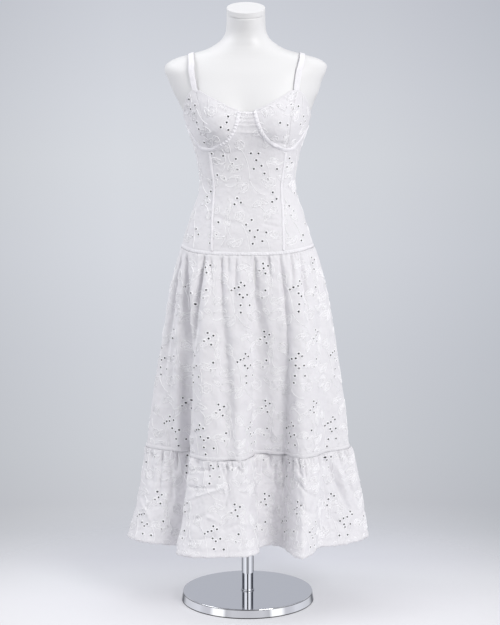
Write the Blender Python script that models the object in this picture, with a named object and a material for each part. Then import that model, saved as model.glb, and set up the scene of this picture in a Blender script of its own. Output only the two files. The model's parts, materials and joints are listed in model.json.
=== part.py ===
"""A white eyelet dress with two gathered skirt tiers, worn by a limbless dress form on its stand.

Units are metres, +Z is up and the dress faces -Y. The origin is the centre of the base disc's
underside. Left and right are as seen from the front: left is -X. Every cut piece of cloth is its
own closed wall: a grid of points on the cloth's middle surface, given thickness along that
surface's normals. Angles are degrees round the figure, 0 at the front and 90 at its right side.
"""

import math

import bmesh
import bpy
import numpy as np

# Cloth
CLOTH = 0.0012          # thickness of every cut piece
SEAM_GAP = 0.0003       # between neighbouring pieces
EASE = 0.0030           # the bodice's middle surface stands this far off the form
STRAP_WIDTH = 0.0125
STRAP_CLOTH = 0.0016
STRAP_GAP = 0.0006      # a strap over the faceted shoulder
BAND_CLOTH = 0.0010     # strips sewn over a seam
BAND_GAP = 0.0004       # a strip over the panel it lies on
CHANNEL_GAP = 0.0006    # the underwire channel, which crosses the most curved part

# Heights of the dress
WAIST_SEAM = 0.874
TIER_SEAM = 0.3835
HEM = 0.158
HEM_WAVER = 0.0025
HEM_WAVES = 3            # rises and falls of the hem on each half of the skirt
SKIRT_SEAM_GAP = 0.0008  # a gathered edge flares, so its seam is wider

# Strips
WAIST_BAND_HEIGHT = 0.008
TIER_BAND_HEIGHT = 0.009
WIRE_CHANNEL_WIDTH = 0.0095
WIRE_CHANNEL_CROWN = 0.0009
CASING_WIDTH = 0.006
CASING_CROWN = 0.0006

# Stand
BASE_RADIUS = 0.163
BASE_TOP_RADIUS = 0.1595
BASE_HEIGHT = 0.022
BASE_EDGE = 0.0015
POLE_RADIUS = 0.0147
COLLAR_RADIUS = 0.0166
COLLAR_HEIGHT = 0.003
FORM_BOTTOM = 0.760
NECK_TOP = 1.4275
NECK_RADIUS = 0.0452
NECK_TILT = 0.327       # rise per metre towards the back, at the top of the neck
NECK_CAP_HEIGHT = 0.013
NECK_CAP_EDGE = 0.0012

# Bust: two smooth swellings of the front
BUST_X = 0.077
BUST_HEIGHT = 1.166
BUST_HALF_WIDTH = 0.043
BUST_ABOVE = 0.052
BUST_BELOW = 0.031
FORM_BUST = 0.037
CUP_BUST = 0.042

# The form's level sections. Square is how far a section bulges past an ellipse between its
# front and its side. Tilt is its rise to the back, and lean its shift to the side: the form
# stands a little askew.
FIGURE_COLUMNS = ("height", "half_width", "front", "back", "square", "tilt", "lean")
FIGURE = (
    (FORM_BOTTOM, 0.1300, 0.0800, 0.0880, 0.07, 0.0, 0.0),
    (0.764, 0.1440, 0.0900, 0.0990, 0.07, 0.0, 0.0),
    (0.775, 0.1515, 0.0970, 0.1080, 0.07, 0.0, 0.0),
    (0.820, 0.1575, 0.1030, 0.1150, 0.07, 0.0, 0.0),
    (0.874, 0.1545, 0.1015, 0.1110, 0.07, 0.0, 0.0),
    (0.915, 0.1428, 0.0960, 0.1010, 0.07, 0.0, 0.0),
    (0.963, 0.1270, 0.0870, 0.0880, 0.07, 0.0, 0.0),
    (1.000, 0.1145, 0.0805, 0.0800, 0.07, 0.0, 0.0),
    (1.030, 0.1102, 0.0785, 0.0770, 0.07, 0.0, 0.0),
    (1.060, 0.1135, 0.0800, 0.0790, 0.07, 0.0, 0.0),
    (1.106, 0.1225, 0.0845, 0.0860, 0.07, 0.0, 0.0),
    (1.154, 0.1380, 0.0880, 0.0960, 0.07, 0.0, -0.0002),
    (1.187, 0.1475, 0.0890, 0.1030, 0.08, 0.0, -0.0010),
    (1.215, 0.1585, 0.0880, 0.1070, 0.09, 0.0, -0.0025),
    (1.243, 0.1715, 0.0850, 0.1075, 0.10, 0.0, -0.0038),
    (1.272, 0.1820, 0.0780, 0.1030, 0.10, 0.0, -0.0055),
    (1.292, 0.1905, 0.0715, 0.0960, 0.09, 0.0, -0.0055),
    (1.303, 0.1920, 0.0665, 0.0910, 0.08, 0.0, -0.0038),
    (1.313, 0.1845, 0.0620, 0.0860, 0.06, 0.0, -0.0025),
    (1.323, 0.1660, 0.0575, 0.0810, 0.04, 0.0, -0.0020),
    (1.333, 0.1300, 0.0540, 0.0750, 0.03, 0.0, -0.0022),
    (1.344, 0.0930, 0.0515, 0.0690, 0.02, 0.01, -0.0030),
    (1.356, 0.0710, 0.0500, 0.0620, 0.01, 0.03, -0.0034),
    (1.370, 0.0550, 0.0500, 0.0540, 0.00, 0.07, -0.0036),
    (1.388, 0.0472, 0.0520, 0.0440, 0.00, 0.15, -0.0037),
    (1.408, 0.0458, 0.0580, 0.0320, 0.00, 0.25, -0.0038),
    (NECK_TOP, NECK_RADIUS, 0.0660, 0.0200, 0.00, NECK_TILT, -0.0038),
)

# The cup's lower seam, from the middle of the front round to the side
WIRE_COLUMNS = ("row", "angle", "height")
WIRE = (
    (0, 6.6, 1.2010),
    (1, 10.8, 1.1680),
    (2, 18.3, 1.1400),
    (3, 30.6, 1.1215),
    (4, 45.0, 1.1115),
    (5, 56.0, 1.1125),
    (6, 66.0, 1.1290),
    (7, 77.0, 1.1500),
    (8, 90.0, 1.1630),
)
WIRE_MEETS_PRINCESS = 4  # the row where the cup seam and the princess seam meet the wire
EDGE_COLUMNS = ("angle", "height")
NECKLINE = (
    (6.6, 1.2050),
    (14.5, 1.2130),
    (22.5, 1.2255),
    (31.0, 1.2385),
    (37.5, 1.2490),
    (41.6, 1.2500),
)
ARMHOLE = (
    (41.6, 1.2500),
    (43.8, 1.2490),
    (60.0, 1.2225),
    (72.0, 1.2010),
    (80.0, 1.1910),
    (90.0, 1.1840),
)
PRINCESS = (
    (31.5, WAIST_SEAM),
    (36.0, 0.9300),
    (41.0, 0.9800),
    (44.0, 1.0250),
    (45.5, 1.0600),
    (45.0, 1.1115),
)
BACK_TOP = (
    (90.0, 1.1840),
    (110.0, 1.1760),
    (140.0, 1.1700),
    (180.0, 1.1670),
)

# A strap's path: distance from the middle at its two ends and over the shoulder
STRAP_FRONT_X = 0.1155
STRAP_FRONT_HEIGHT = 1.2495
STRAP_TOP_X = 0.1310
STRAP_BACK_X = 0.0780
STRAP_BACK_HEIGHT = 1.1702
STRAP_LIFT = 0.004      # a taut strap bridges the hollow below the shoulder
SHOULDER_HEIGHTS = (1.303, 1.356)

# The skirt's side outline, from below. It starts as wide as the bodice at the waist seam.
OUTLINE_COLUMNS = ("height", "left", "right")
UPPER_OUTLINE = (
    (TIER_SEAM, 0.2460, 0.2480),
    (0.4000, 0.2432, 0.2455),
    (0.4995, 0.2305, 0.2345),
    (0.5737, 0.2190, 0.2230),
    (0.6475, 0.2062, 0.2115),
    (0.7209, 0.1945, 0.2000),
    (0.7697, 0.1870, 0.1900),
    (0.8182, 0.1750, 0.1780),
    (0.8425, 0.1670, 0.1705),
    (WAIST_SEAM, 0.1575, 0.1575),
)
FLOUNCE_OUTLINE = (
    (HEM, 0.2950, 0.2965),
    (0.2000, 0.2830, 0.2900),
    (0.2500, 0.2690, 0.2820),
    (0.3000, 0.2602, 0.2728),
    (0.3500, 0.2512, 0.2612),
    (0.3720, 0.2475, 0.2545),
    (TIER_SEAM, 0.2460, 0.2480),
)

# The skirt's large folds, once round from the left side seam by the front: the place of each
# crest and valley at the tier seam and at the hem
FOLD_COLUMNS = ("tier_x", "tier_y", "hem_x", "hem_y")
FRONT_FOLDS = (
    (-0.246, 0.000, -0.295, 0.000),    # left side seam
    (-0.203, -0.038, -0.262, -0.058),
    (-0.166, -0.046, -0.205, -0.077),
    (-0.137, -0.050, -0.158, -0.078),  # valley left of the front lobe
    (-0.133, -0.112, -0.168, -0.148),  # its steep edge
    (-0.088, -0.148, -0.128, -0.185),
    (-0.040, -0.151, -0.055, -0.192),  # front lobe
    (-0.008, -0.143, 0.004, -0.183),
    (0.010, -0.106, 0.024, -0.150),    # its right edge
    (0.024, -0.064, 0.030, -0.088),
    (0.060, -0.054, 0.062, -0.068),    # middle valley
    (0.092, -0.062, 0.091, -0.086),
    (0.108, -0.104, 0.097, -0.140),
    (0.134, -0.123, 0.129, -0.205),    # right front fold
    (0.160, -0.106, 0.154, -0.160),
    (0.186, -0.064, 0.174, -0.092),
    (0.222, -0.040, 0.228, -0.072),
)
BACK_FOLDS = (
    (0.248, 0.000, 0.2965, 0.000),     # right side seam
    (0.228, 0.050, 0.268, 0.064),
    (0.188, 0.092, 0.222, 0.116),
    (0.158, 0.090, 0.184, 0.108),      # valley
    (0.134, 0.128, 0.163, 0.165),
    (0.096, 0.156, 0.112, 0.206),      # right back fold
    (0.048, 0.148, 0.052, 0.188),
    (0.022, 0.112, 0.026, 0.126),
    (-0.018, 0.106, -0.022, 0.118),    # middle valley
    (-0.046, 0.140, -0.050, 0.176),
    (-0.088, 0.160, -0.094, 0.212),    # left back fold
    (-0.130, 0.140, -0.148, 0.182),
    (-0.154, 0.094, -0.172, 0.112),    # valley
    (-0.192, 0.088, -0.220, 0.114),
    (-0.230, 0.050, -0.270, 0.066),
)
FOLD_ONSET = 1.15       # the folds grow with this power of the distance below the waist

# Gathers. The counts are for half a tier, its front or its back.
GATHER_START = 0.012    # a gather opens over this distance below its seam
GATHER_SHUT = 0.2       # the share of its depth that it has at the seam
GATHER_DRIFT = 0.9      # how unevenly the gathers are spaced, in radians
GATHER_UNEVEN = 0.25    # the share by which their depths differ
WAIST_GATHERS = {"seam": WAIST_SEAM, "count": 13, "depth": 0.0075, "fade": 0.120}
FLOUNCE_GATHERS = {"seam": TIER_SEAM, "count": 21, "depth": 0.0065, "fade": 0.060}

# Faces
TORSO_SIDES = 32
TORSO_TALLEST_STEP = 0.035
GORE_COLUMNS = 10
CUP_COLUMNS = 8
CUP_SHARES = (0.0, 0.05, 0.2, 0.4, 0.6, 0.8, 1.0)
BACK_COLUMNS = 8
BODY_SHARES = (0.0, 0.037, 0.16, 0.30, 0.44, 0.58, 0.71, 0.83, 0.92, 0.975, 1.0)
UPPER_COLUMNS = 5 * WAIST_GATHERS["count"]
BAND_SHARE = TIER_BAND_HEIGHT / (WAIST_SEAM - TIER_SEAM)
UPPER_ROWS = (1.0, 1.0 - BAND_SHARE, 0.72, 0.46, 0.25, 0.105, 0.032, 0.0)
FLOUNCE_COLUMNS = 4 * FLOUNCE_GATHERS["count"]
FLOUNCE_ROWS = (1.0, 0.56, 0.23, 0.075, 0.0)
BAND_COLUMNS = 72
STRAP_ROWS = 11
SMALL_ROUND = 28
BASE_ROUND = 56

COTTON = ("cotton", (0.80, 0.79, 0.82), 0.85, 0.0)
STRAP_COTTON = ("strap_cotton", (0.83, 0.82, 0.85), 0.80, 0.0)
FORM_WHITE = ("form_white", (0.83, 0.83, 0.84), 0.35, 0.0)
CHROME = ("chrome", (0.78, 0.79, 0.82), 0.08, 1.0)


# Reading the tables
def read(table, columns, name, by, at):
    """One column of a table at any value of another, by a cubic that never passes its rows."""
    rows = np.array(sorted(table, key=lambda row: row[columns.index(by)]), float)
    known = rows[:, columns.index(by)]
    value = rows[:, columns.index(name)]
    step = np.diff(known)
    rise = np.diff(value) / step
    before, after = rise[:-1], rise[1:]
    near, far = 2 * step[1:] + step[:-1], step[1:] + 2 * step[:-1]
    same_way = before * after > 0
    below = np.where(same_way, near * after + far * before, 1.0)
    middle = np.where(same_way, (near + far) * before * after / below, 0.0)
    slope = np.concatenate([rise[:1], middle, rise[-1:]])
    at = np.clip(at, known[0], known[-1])
    row = np.clip(np.searchsorted(known, at, side="right") - 1, 0, len(step) - 1)
    part = (at - known[row]) / step[row]
    return hermite(part, value[row], value[row + 1], slope[row] * step[row], slope[row + 1] * step[row])


def hermite(part, start, end, leaving, arriving):
    """A cubic from start to end with the slopes that it leaves and arrives with."""
    eased = part * part * (3 - 2 * part)
    return (
        start * (1 - eased)
        + end * eased
        + leaving * part * (1 - part) ** 2
        + arriving * part * part * (part - 1)
    )


def closed_curve(knots, points, at):
    """A closed smooth curve through points, with mean slopes there, read at any place."""
    total = knots[-1]
    wide_knots = np.concatenate([knots[-3:-1] - total, knots, knots[1:3] + total])
    wide = np.concatenate([points[-2:], points, points[:3]])
    slope = np.gradient(wide, wide_knots, axis=0)
    at = np.mod(at, total)
    row = np.searchsorted(wide_knots, at, side="right") - 1
    step = (wide_knots[row + 1] - wide_knots[row])[..., None]
    part = (at - wide_knots[row])[..., None] / step
    return hermite(part, wide[row], wide[row + 1], slope[row] * step, slope[row + 1] * step)


# The form and the bodice
def figure_column(name, height):
    return read(FIGURE, FIGURE_COLUMNS, name, "height", height)


def figure(angle, height, ease=0.0, bust=FORM_BUST):
    """The figure's surface: a squared ellipse at each level, with two swellings at the front."""
    angle, height = np.broadcast_arrays(np.asarray(angle, float), np.asarray(height, float))
    front = figure_column("front", height) + ease
    back = figure_column("back", height) + ease
    x = (figure_column("half_width", height) + ease) * np.sin(np.radians(angle))
    along = np.cos(np.radians(angle))
    squared = 1 + figure_column("square", height) * np.sin(np.radians(2 * angle)) ** 2
    depth = np.where(along > 0, front, back) * along * squared
    spread = np.where(height > BUST_HEIGHT, BUST_ABOVE, BUST_BELOW)
    swelling = np.exp(-0.5 * ((x - BUST_X) / BUST_HALF_WIDTH) ** 2)
    swelling = swelling + np.exp(-0.5 * ((x + BUST_X) / BUST_HALF_WIDTH) ** 2)
    swelling = swelling * np.exp(-0.5 * ((height - BUST_HEIGHT) / spread) ** 2)
    depth = depth + bust * swelling * np.clip(along, 0, 1)
    z = height - figure_column("tilt", height) * (depth + (back - front) / 2)
    return np.stack([x + figure_column("lean", height), -depth, z], axis=-1)


def bodice(angle, height):
    return figure(angle, height, EASE, CUP_BUST)


def wire(row):
    return [read(WIRE, WIRE_COLUMNS, name, "row", row) for name in ("angle", "height")]


def edge(table, angle):
    return read(table, EDGE_COLUMNS, "height", "angle", angle)


# The skirt
def fold_knots():
    """Each fold row's place round the skirt by the hem's length, 0 to 1 in front, 1 to 2 behind."""
    hem = [FOLD_COLUMNS.index("hem_x"), FOLD_COLUMNS.index("hem_y")]
    knots = []
    halves = (FRONT_FOLDS + BACK_FOLDS[:1], BACK_FOLDS + FRONT_FOLDS[:1])
    for number, half in enumerate(halves):
        steps = np.linalg.norm(np.diff(np.array(half)[:, hem], axis=0), axis=1)
        knots.append(number + np.cumsum(np.append(0, steps))[:-1] / steps.sum())
    return np.append(np.concatenate(knots), 2.0)


def fold_ring(level, place):
    columns = [FOLD_COLUMNS.index(level + "_x"), FOLD_COLUMNS.index(level + "_y")]
    points = np.array(FRONT_FOLDS + BACK_FOLDS)[:, columns]
    return closed_curve(fold_knots(), points, place)


def outline(table, x, height):
    """How wide the skirt is at a height against its first row, on the side that x is on."""
    sides = []
    for side in ("left", "right"):
        half = read(table, OUTLINE_COLUMNS, side, "height", height)
        sides.append(half / table[0][OUTLINE_COLUMNS.index(side)])
    return np.where(x < 0, *sides)


def upper_ring(place, height):
    """Passes from the bodice's own section at the waist seam to the folded ring at the tier seam."""
    waist = bodice(180 * (place - 0.5), WAIST_SEAM)
    folded = np.clip((WAIST_SEAM - height) / (WAIST_SEAM - TIER_SEAM), 0, 1) ** FOLD_ONSET
    plain = 1 - folded
    tier = fold_ring("tier", place)
    share = outline(UPPER_OUTLINE, tier[..., 0], height)
    swell = share / outline(UPPER_OUTLINE, tier[..., 0], WAIST_SEAM)
    x = plain * waist[..., 0] * swell + folded * tier[..., 0] * share
    y = plain * waist[..., 1] * swell + folded * tier[..., 1]
    return np.stack([x, y], axis=-1)


def flounce_ring(place, height):
    """Passes from the folded ring at the tier seam to the one at the hem."""
    fallen = np.clip((TIER_SEAM - height) / (TIER_SEAM - HEM), 0, 1)
    tier, hem = fold_ring("tier", place), fold_ring("hem", place)
    share = outline(FLOUNCE_OUTLINE, hem[..., 0], height)
    grown = share / outline(FLOUNCE_OUTLINE, hem[..., 0], TIER_SEAM)
    x = (1 - fallen) * tier[..., 0] * grown + fallen * hem[..., 0] * share
    y = (1 - fallen) * tier[..., 1] + fallen * hem[..., 1]
    return np.stack([x, y], axis=-1)


def gathered(ring, place, height, gathers):
    """A tier's surface: its level rings, moved out by rounded, uneven gathers below its seam."""
    place, height = np.broadcast_arrays(np.asarray(place, float), np.asarray(height, float))
    below = np.clip(gathers["seam"] - height, 0, None)
    turn = 2 * math.pi * gathers["count"] * place
    turn = turn + GATHER_DRIFT * np.sin(5 * math.pi * place + 0.7)
    uneven = 1 - GATHER_UNEVEN + GATHER_UNEVEN * np.sin(3 * math.pi * place - 1.8)
    opening = np.clip(GATHER_SHUT + (1 - GATHER_SHUT) * below / GATHER_START, 0, 1)
    out = gathers["depth"] * uneven * (0.5 + 0.5 * np.cos(turn)) * opening
    out = out * np.exp(-below / gathers["fade"])
    nearby = 0.002
    tangent = ring(place + nearby, height) - ring(place - nearby, height)
    tangent = tangent / np.linalg.norm(tangent, axis=-1, keepdims=True)
    outward = np.stack([tangent[..., 1], -tangent[..., 0]], axis=-1)
    points = ring(place, height) + outward * out[..., None]
    return np.concatenate([points, height[..., None]], axis=-1)


def upper_tier(place, height):
    return gathered(upper_ring, place, height, WAIST_GATHERS)


def flounce(place, height):
    return gathered(flounce_ring, place, height, FLOUNCE_GATHERS)


# Walls
def slopes(surface, across, height):
    """How a surface's points change with each of its two parameters."""
    nearby = 1e-4
    return (
        (surface(across + nearby, height) - surface(across - nearby, height)) / (2 * nearby),
        (surface(across, height + nearby) - surface(across, height - nearby)) / (2 * nearby),
    )


def normals(surface, across, height):
    by_across, by_height = slopes(surface, across, height)
    normal = np.cross(by_across, by_height)
    return normal / np.linalg.norm(normal, axis=-1, keepdims=True)


def trimmed(points, ring):
    """The grid with its free edges drawn in by half a seam's gap."""
    points = points.copy()
    edges = [(0, 0, 1), (0, -1, -2)] + ([] if ring else [(1, 0, 1), (1, -1, -2)])
    for axis, end, inner in edges:
        view = np.moveaxis(points, axis, 0)
        inwards = view[inner] - view[end]
        view[end] += inwards / np.linalg.norm(inwards, axis=-1, keepdims=True) * SEAM_GAP / 2
    return points


def wall(name, surface, across, height, finish, thickness=CLOTH, lift=0.0, crown=None, ring=False):
    """A closed wall round a grid of a surface's points. A crown raises its outer side alone."""
    across, height = np.broadcast_arrays(np.asarray(across, float), np.asarray(height, float))
    middle = trimmed(surface(across, height), ring)
    normal = normals(surface, across, height)
    raised = 0.0 if crown is None else crown
    lift = np.broadcast_to(lift, across.shape)[..., None]
    outer = middle + normal * (lift + thickness / 2 + np.broadcast_to(raised, across.shape)[..., None])
    inner = middle + normal * (lift - thickness / 2)
    rows, columns = across.shape
    index = np.arange(rows * columns).reshape(rows, columns)
    if ring:
        index = np.concatenate([index, index[:, :1]], axis=1)
    outside, inside = index, index + rows * columns
    faces = [quads(outside), quads(inside)[:, ::-1]]
    rims = [(outside[0], inside[0]), (inside[-1], outside[-1])]
    if not ring:
        rims += [(inside[:, 0], outside[:, 0]), (outside[:, -1], inside[:, -1])]
    faces += [quads(np.stack([second, first])) for first, second in rims]
    points = np.concatenate([outer.reshape(-1, 3), inner.reshape(-1, 3)])
    return solid(name, points, np.concatenate(faces), finish)


def quads(index):
    return np.stack(
        [index[:-1, :-1], index[:-1, 1:], index[1:, 1:], index[1:, :-1]], axis=-1
    ).reshape(-1, 4)


def solid(name, points, faces, finish, sharp=math.radians(40)):
    """A named object of its own material, its normals made to face out."""
    mesh = bpy.data.meshes.new(name)
    mesh.from_pydata([tuple(map(float, point)) for point in points], [], [list(face) for face in faces])
    shape = bmesh.new()
    shape.from_mesh(mesh)
    bmesh.ops.recalc_face_normals(shape, faces=shape.faces)
    shape.to_mesh(mesh)
    shape.free()
    mesh.shade_smooth()
    mesh.set_sharp_from_angle(angle=sharp)
    mesh.materials.append(finished(finish, name))
    thing = bpy.data.objects.new(name, mesh)
    bpy.context.scene.collection.objects.link(thing)
    return thing


def finished(finish, name):
    label, colour, roughness, metallic = finish
    material = bpy.data.materials.new(name + "_" + label)
    material.use_nodes = True
    shader = material.node_tree.nodes["Principled BSDF"]
    shader.inputs["Base Color"].default_value = (*colour, 1.0)
    shader.inputs["Roughness"].default_value = roughness
    shader.inputs["Metallic"].default_value = metallic
    return material


def turned(name, profile, sides, finish):
    """A profile of (radius, height) rows from below, turned about Z and closed with flat ends."""
    angle = np.linspace(0, 2 * math.pi, sides, endpoint=False)
    rings = [
        np.stack([radius * np.cos(angle), radius * np.sin(angle), np.full(sides, height)], axis=-1)
        for radius, height in profile
    ]
    return capped(name, np.array(rings), finish)


def capped(name, rings, finish):
    """A skin over rings of points, closed by one flat face at each end."""
    rows, sides = rings.shape[:2]
    index = np.arange(rows * sides).reshape(rows, sides)
    skin = quads(np.concatenate([index, index[:, :1]], axis=1))
    faces = skin.tolist() + [index[0][::-1].tolist(), index[-1].tolist()]
    return solid(name, rings.reshape(-1, 3), faces, finish)


# Pieces of the stand
def build_stand():
    edge_in = BASE_TOP_RADIUS - BASE_EDGE
    base = [
        (BASE_RADIUS - BASE_EDGE / 2, 0.0),
        (BASE_RADIUS, BASE_EDGE),
        (BASE_TOP_RADIUS, BASE_HEIGHT - BASE_EDGE),
        (edge_in, BASE_HEIGHT),
    ]
    turned("base_disc", base, BASE_ROUND, CHROME)
    foot = BASE_HEIGHT + SEAM_GAP
    turned("pole", [(POLE_RADIUS, foot), (POLE_RADIUS, FORM_BOTTOM - SEAM_GAP)], SMALL_ROUND, CHROME)
    build_collar(foot)


def build_collar(foot):
    """A flat ring round the pole's foot."""
    inner = POLE_RADIUS + SEAM_GAP * 2
    section = np.array([
        (inner, foot),
        (COLLAR_RADIUS, foot),
        (COLLAR_RADIUS, foot + COLLAR_HEIGHT - BASE_EDGE / 2),
        (COLLAR_RADIUS - BASE_EDGE / 2, foot + COLLAR_HEIGHT),
        (inner, foot + COLLAR_HEIGHT),
    ])
    angle = np.linspace(0, 2 * math.pi, SMALL_ROUND, endpoint=False)[:, None]
    rings = np.stack([
        section[:, 0] * np.cos(angle),
        section[:, 0] * np.sin(angle),
        np.broadcast_to(section[:, 1], (SMALL_ROUND, len(section))),
    ], axis=-1)
    index = np.arange(SMALL_ROUND * len(section)).reshape(SMALL_ROUND, len(section))
    index = np.concatenate([index, index[:1]])
    index = np.concatenate([index, index[:, :1]], axis=1)
    solid("pole_collar", rings.reshape(-1, 3), quads(index), CHROME)


def build_form():
    """The torso over its table's levels, with one more in each tall step, and its neck cap."""
    levels = []
    heights = [row[0] for row in FIGURE]
    for low, high in zip(heights, heights[1:]):
        levels.append(low)
        if high - low > TORSO_TALLEST_STEP:
            levels.append((low + high) / 2)
    levels.append(heights[-1])
    angle = np.linspace(-180, 180, TORSO_SIDES, endpoint=False)
    capped("form_torso", figure(angle[None, :], np.array(levels)[:, None]), FORM_WHITE)
    cap = turned(
        "neck_cap",
        [
            (NECK_RADIUS, 0.0),
            (NECK_RADIUS, NECK_CAP_HEIGHT - NECK_CAP_EDGE),
            (NECK_RADIUS - NECK_CAP_EDGE, NECK_CAP_HEIGHT),
        ],
        SMALL_ROUND,
        FORM_WHITE,
    )
    lean = math.atan(NECK_TILT)
    axis = np.array([0.0, -math.sin(lean), math.cos(lean)])
    top = FIGURE[-1]
    middle_y = (top[FIGURE_COLUMNS.index("back")] - top[FIGURE_COLUMNS.index("front")]) / 2
    middle_x = top[FIGURE_COLUMNS.index("lean")]
    cap.location = np.array([middle_x, middle_y, NECK_TOP]) + axis * SEAM_GAP
    cap.rotation_euler = (lean, 0.0, 0.0)


# Pieces of the bodice. Side is 1 for the right, -1 for the left.
def body_share():
    return np.array(BODY_SHARES)[:, None]


def wire_rows(first, last, columns):
    return wire(np.linspace(first, last, columns + 1))


def build_centre_front():
    """The middle panel up to the wires, and the gore that it sends up between the cups."""
    meeting = wire(np.array(float(WIRE_MEETS_PRINCESS)))[1]
    low = WAIST_SEAM + body_share() * (meeting - WAIST_SEAM)
    low_half = read(PRINCESS, EDGE_COLUMNS, "angle", "height", low)
    gore_half, gore_height = wire_rows(WIRE_MEETS_PRINCESS, 0, CUP_COLUMNS)
    half = np.concatenate([low_half, gore_half[1:, None]])
    height = np.concatenate([low, gore_height[1:, None]])
    share = np.linspace(-1, 1, GORE_COLUMNS + 1)[None, :]
    wall("centre_front", bodice, half * share, height + 0 * share, COTTON)


def build_side_front(name, side):
    angle, top = wire_rows(WIRE_MEETS_PRINCESS, len(WIRE) - 1, CUP_COLUMNS)
    share = body_share()
    height = WAIST_SEAM + share * (top[None, :] - WAIST_SEAM)
    inner = read(PRINCESS, EDGE_COLUMNS, "angle", "height", height[:, :1])
    outer = (angle - angle[0]) / (angle[-1] - angle[0])
    wall("side_front_" + name, bodice, side * (inner + (90 - inner) * outer), height, COTTON)


def build_cups(name, side):
    """The inner and outer cup, ruled from the wire up to the neckline and to the armhole."""
    share = np.array(CUP_SHARES)[:, None]
    last = len(WIRE) - 1
    parts = (
        ("inner_cup_", 0, WIRE_MEETS_PRINCESS, NECKLINE),
        ("outer_cup_", WIRE_MEETS_PRINCESS, last, ARMHOLE),
    )
    for label, first, end, top_edge in parts:
        angle, low = wire_rows(first, end, CUP_COLUMNS)
        top_angle = np.linspace(top_edge[0][0], top_edge[-1][0], CUP_COLUMNS + 1)
        top = edge(top_edge, top_angle)
        across = angle + (top_angle - angle) * share
        wall(label + name, bodice, side * across, low + (top - low) * share, COTTON)


def build_back(name, side):
    angle = np.linspace(90, 180, BACK_COLUMNS + 1)[None, :]
    top = edge(BACK_TOP, angle)
    wall("back_" + name, bodice, side * angle, WAIST_SEAM + body_share() * (top - WAIST_SEAM), COTTON)


def beside(surface, across, height, distance):
    """A curve moved sideways within its surface."""
    by_across, by_height = slopes(surface, across, height)
    along = np.gradient(surface(across, height), axis=0)
    sideways = np.cross(normals(surface, across, height), along)
    sideways = sideways / np.linalg.norm(sideways, axis=-1, keepdims=True) * distance
    aa = (by_across * by_across).sum(-1)
    hh = (by_height * by_height).sum(-1)
    ah = (by_across * by_height).sum(-1)
    wanted_a = (by_across * sideways).sum(-1)
    wanted_h = (by_height * sideways).sum(-1)
    scale = aa * hh - ah * ah
    return (
        across + (wanted_a * hh - wanted_h * ah) / scale,
        height + (wanted_h * aa - wanted_a * ah) / scale,
    )


def strip(name, across, height, width, crown, gap):
    """A narrow strip over a seam of the bodice, raised along its middle."""
    sides = [beside(bodice, across, height, width * share) for share in (-0.5, 0.0, 0.5)]
    grid_across = np.stack([one[0] for one in sides], axis=1)
    grid_height = np.stack([one[1] for one in sides], axis=1)
    lift = CLOTH / 2 + gap + BAND_CLOTH / 2
    raised = np.broadcast_to(np.array([0.0, crown, 0.0]), grid_across.shape)
    wall(name, bodice, grid_across, grid_height, COTTON, BAND_CLOTH, lift, raised)


def build_strips(name, side):
    """The underwire channel, and the boning casing from it down to the waist band."""
    angle, height = wire_rows(0, len(WIRE) - 1, 2 * CUP_COLUMNS)
    strip("wire_channel_" + name, side * angle, height, WIRE_CHANNEL_WIDTH, WIRE_CHANNEL_CROWN, CHANNEL_GAP)
    meeting = WIRE[WIRE_MEETS_PRINCESS][2]
    height = WAIST_SEAM + np.array(BODY_SHARES[1:-1]) * (meeting - WAIST_SEAM)
    angle = read(PRINCESS, EDGE_COLUMNS, "angle", "height", height)
    strip("front_casing_" + name, side * angle, height, CASING_WIDTH, CASING_CROWN, BAND_GAP)


def build_waist_band():
    angle = np.linspace(-180, 180, BAND_COLUMNS, endpoint=False)[None, :]
    height = WAIST_SEAM + np.array([0.0, 1.0])[:, None] * WAIST_BAND_HEIGHT
    lift = CLOTH / 2 + BAND_GAP + BAND_CLOTH / 2
    wall("waist_band", bodice, angle, height, COTTON, BAND_CLOTH, lift, ring=True)


def shoulder_height(distance):
    """The height at which the shoulder's ridge is this far from the middle."""
    heights = np.linspace(*SHOULDER_HEIGHTS, 400)
    halves = figure_column("half_width", heights)
    return np.interp(-distance, -halves, heights)


def build_strap(name, side):
    """A ribbon over the shoulder, from the cup's point down to the top of the back."""
    across = STRAP_WIDTH * np.array([-0.5, 0.0, 0.5])[None, :]
    turn = np.linspace(0, 1, STRAP_ROWS)[:, None]
    climbed = np.sin(turn * math.pi / 2)
    top = shoulder_height(STRAP_TOP_X + across)
    halves = []
    for end_x, end_height in ((STRAP_FRONT_X, STRAP_FRONT_HEIGHT), (STRAP_BACK_X, STRAP_BACK_HEIGHT)):
        height = end_height + (top - end_height) * climbed
        x = end_x + across + (STRAP_TOP_X - end_x) * climbed
        half = figure_column("half_width", height)
        halves.append((np.degrees(np.arcsin(np.clip(x / half, -1, 1))), height))
    angle = np.concatenate([halves[0][0], 180 - halves[1][0][-2::-1]])
    height = np.concatenate([halves[0][1], halves[1][1][-2::-1]])
    run = np.concatenate([turn, turn[-2::-1]]) + 0 * angle
    lift = STRAP_GAP + STRAP_CLOTH / 2 + EASE * (1 - run) ** 2 + STRAP_LIFT * np.sin(math.pi * run) ** 2
    wall("strap_" + name, figure, side * angle, height, STRAP_COTTON, STRAP_CLOTH, lift)


# Pieces of the skirt
def hem_height(place):
    return HEM + HEM_WAVER * np.sin(2 * math.pi * HEM_WAVES * place + 0.6)


def tier_grid(first, columns, rows, top, bottom):
    place = first + np.linspace(0, 1, columns + 1)[None, :]
    low = bottom(place) if callable(bottom) else bottom
    return place, top + (low - top) * np.array(rows)[:, None] + 0 * place


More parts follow.
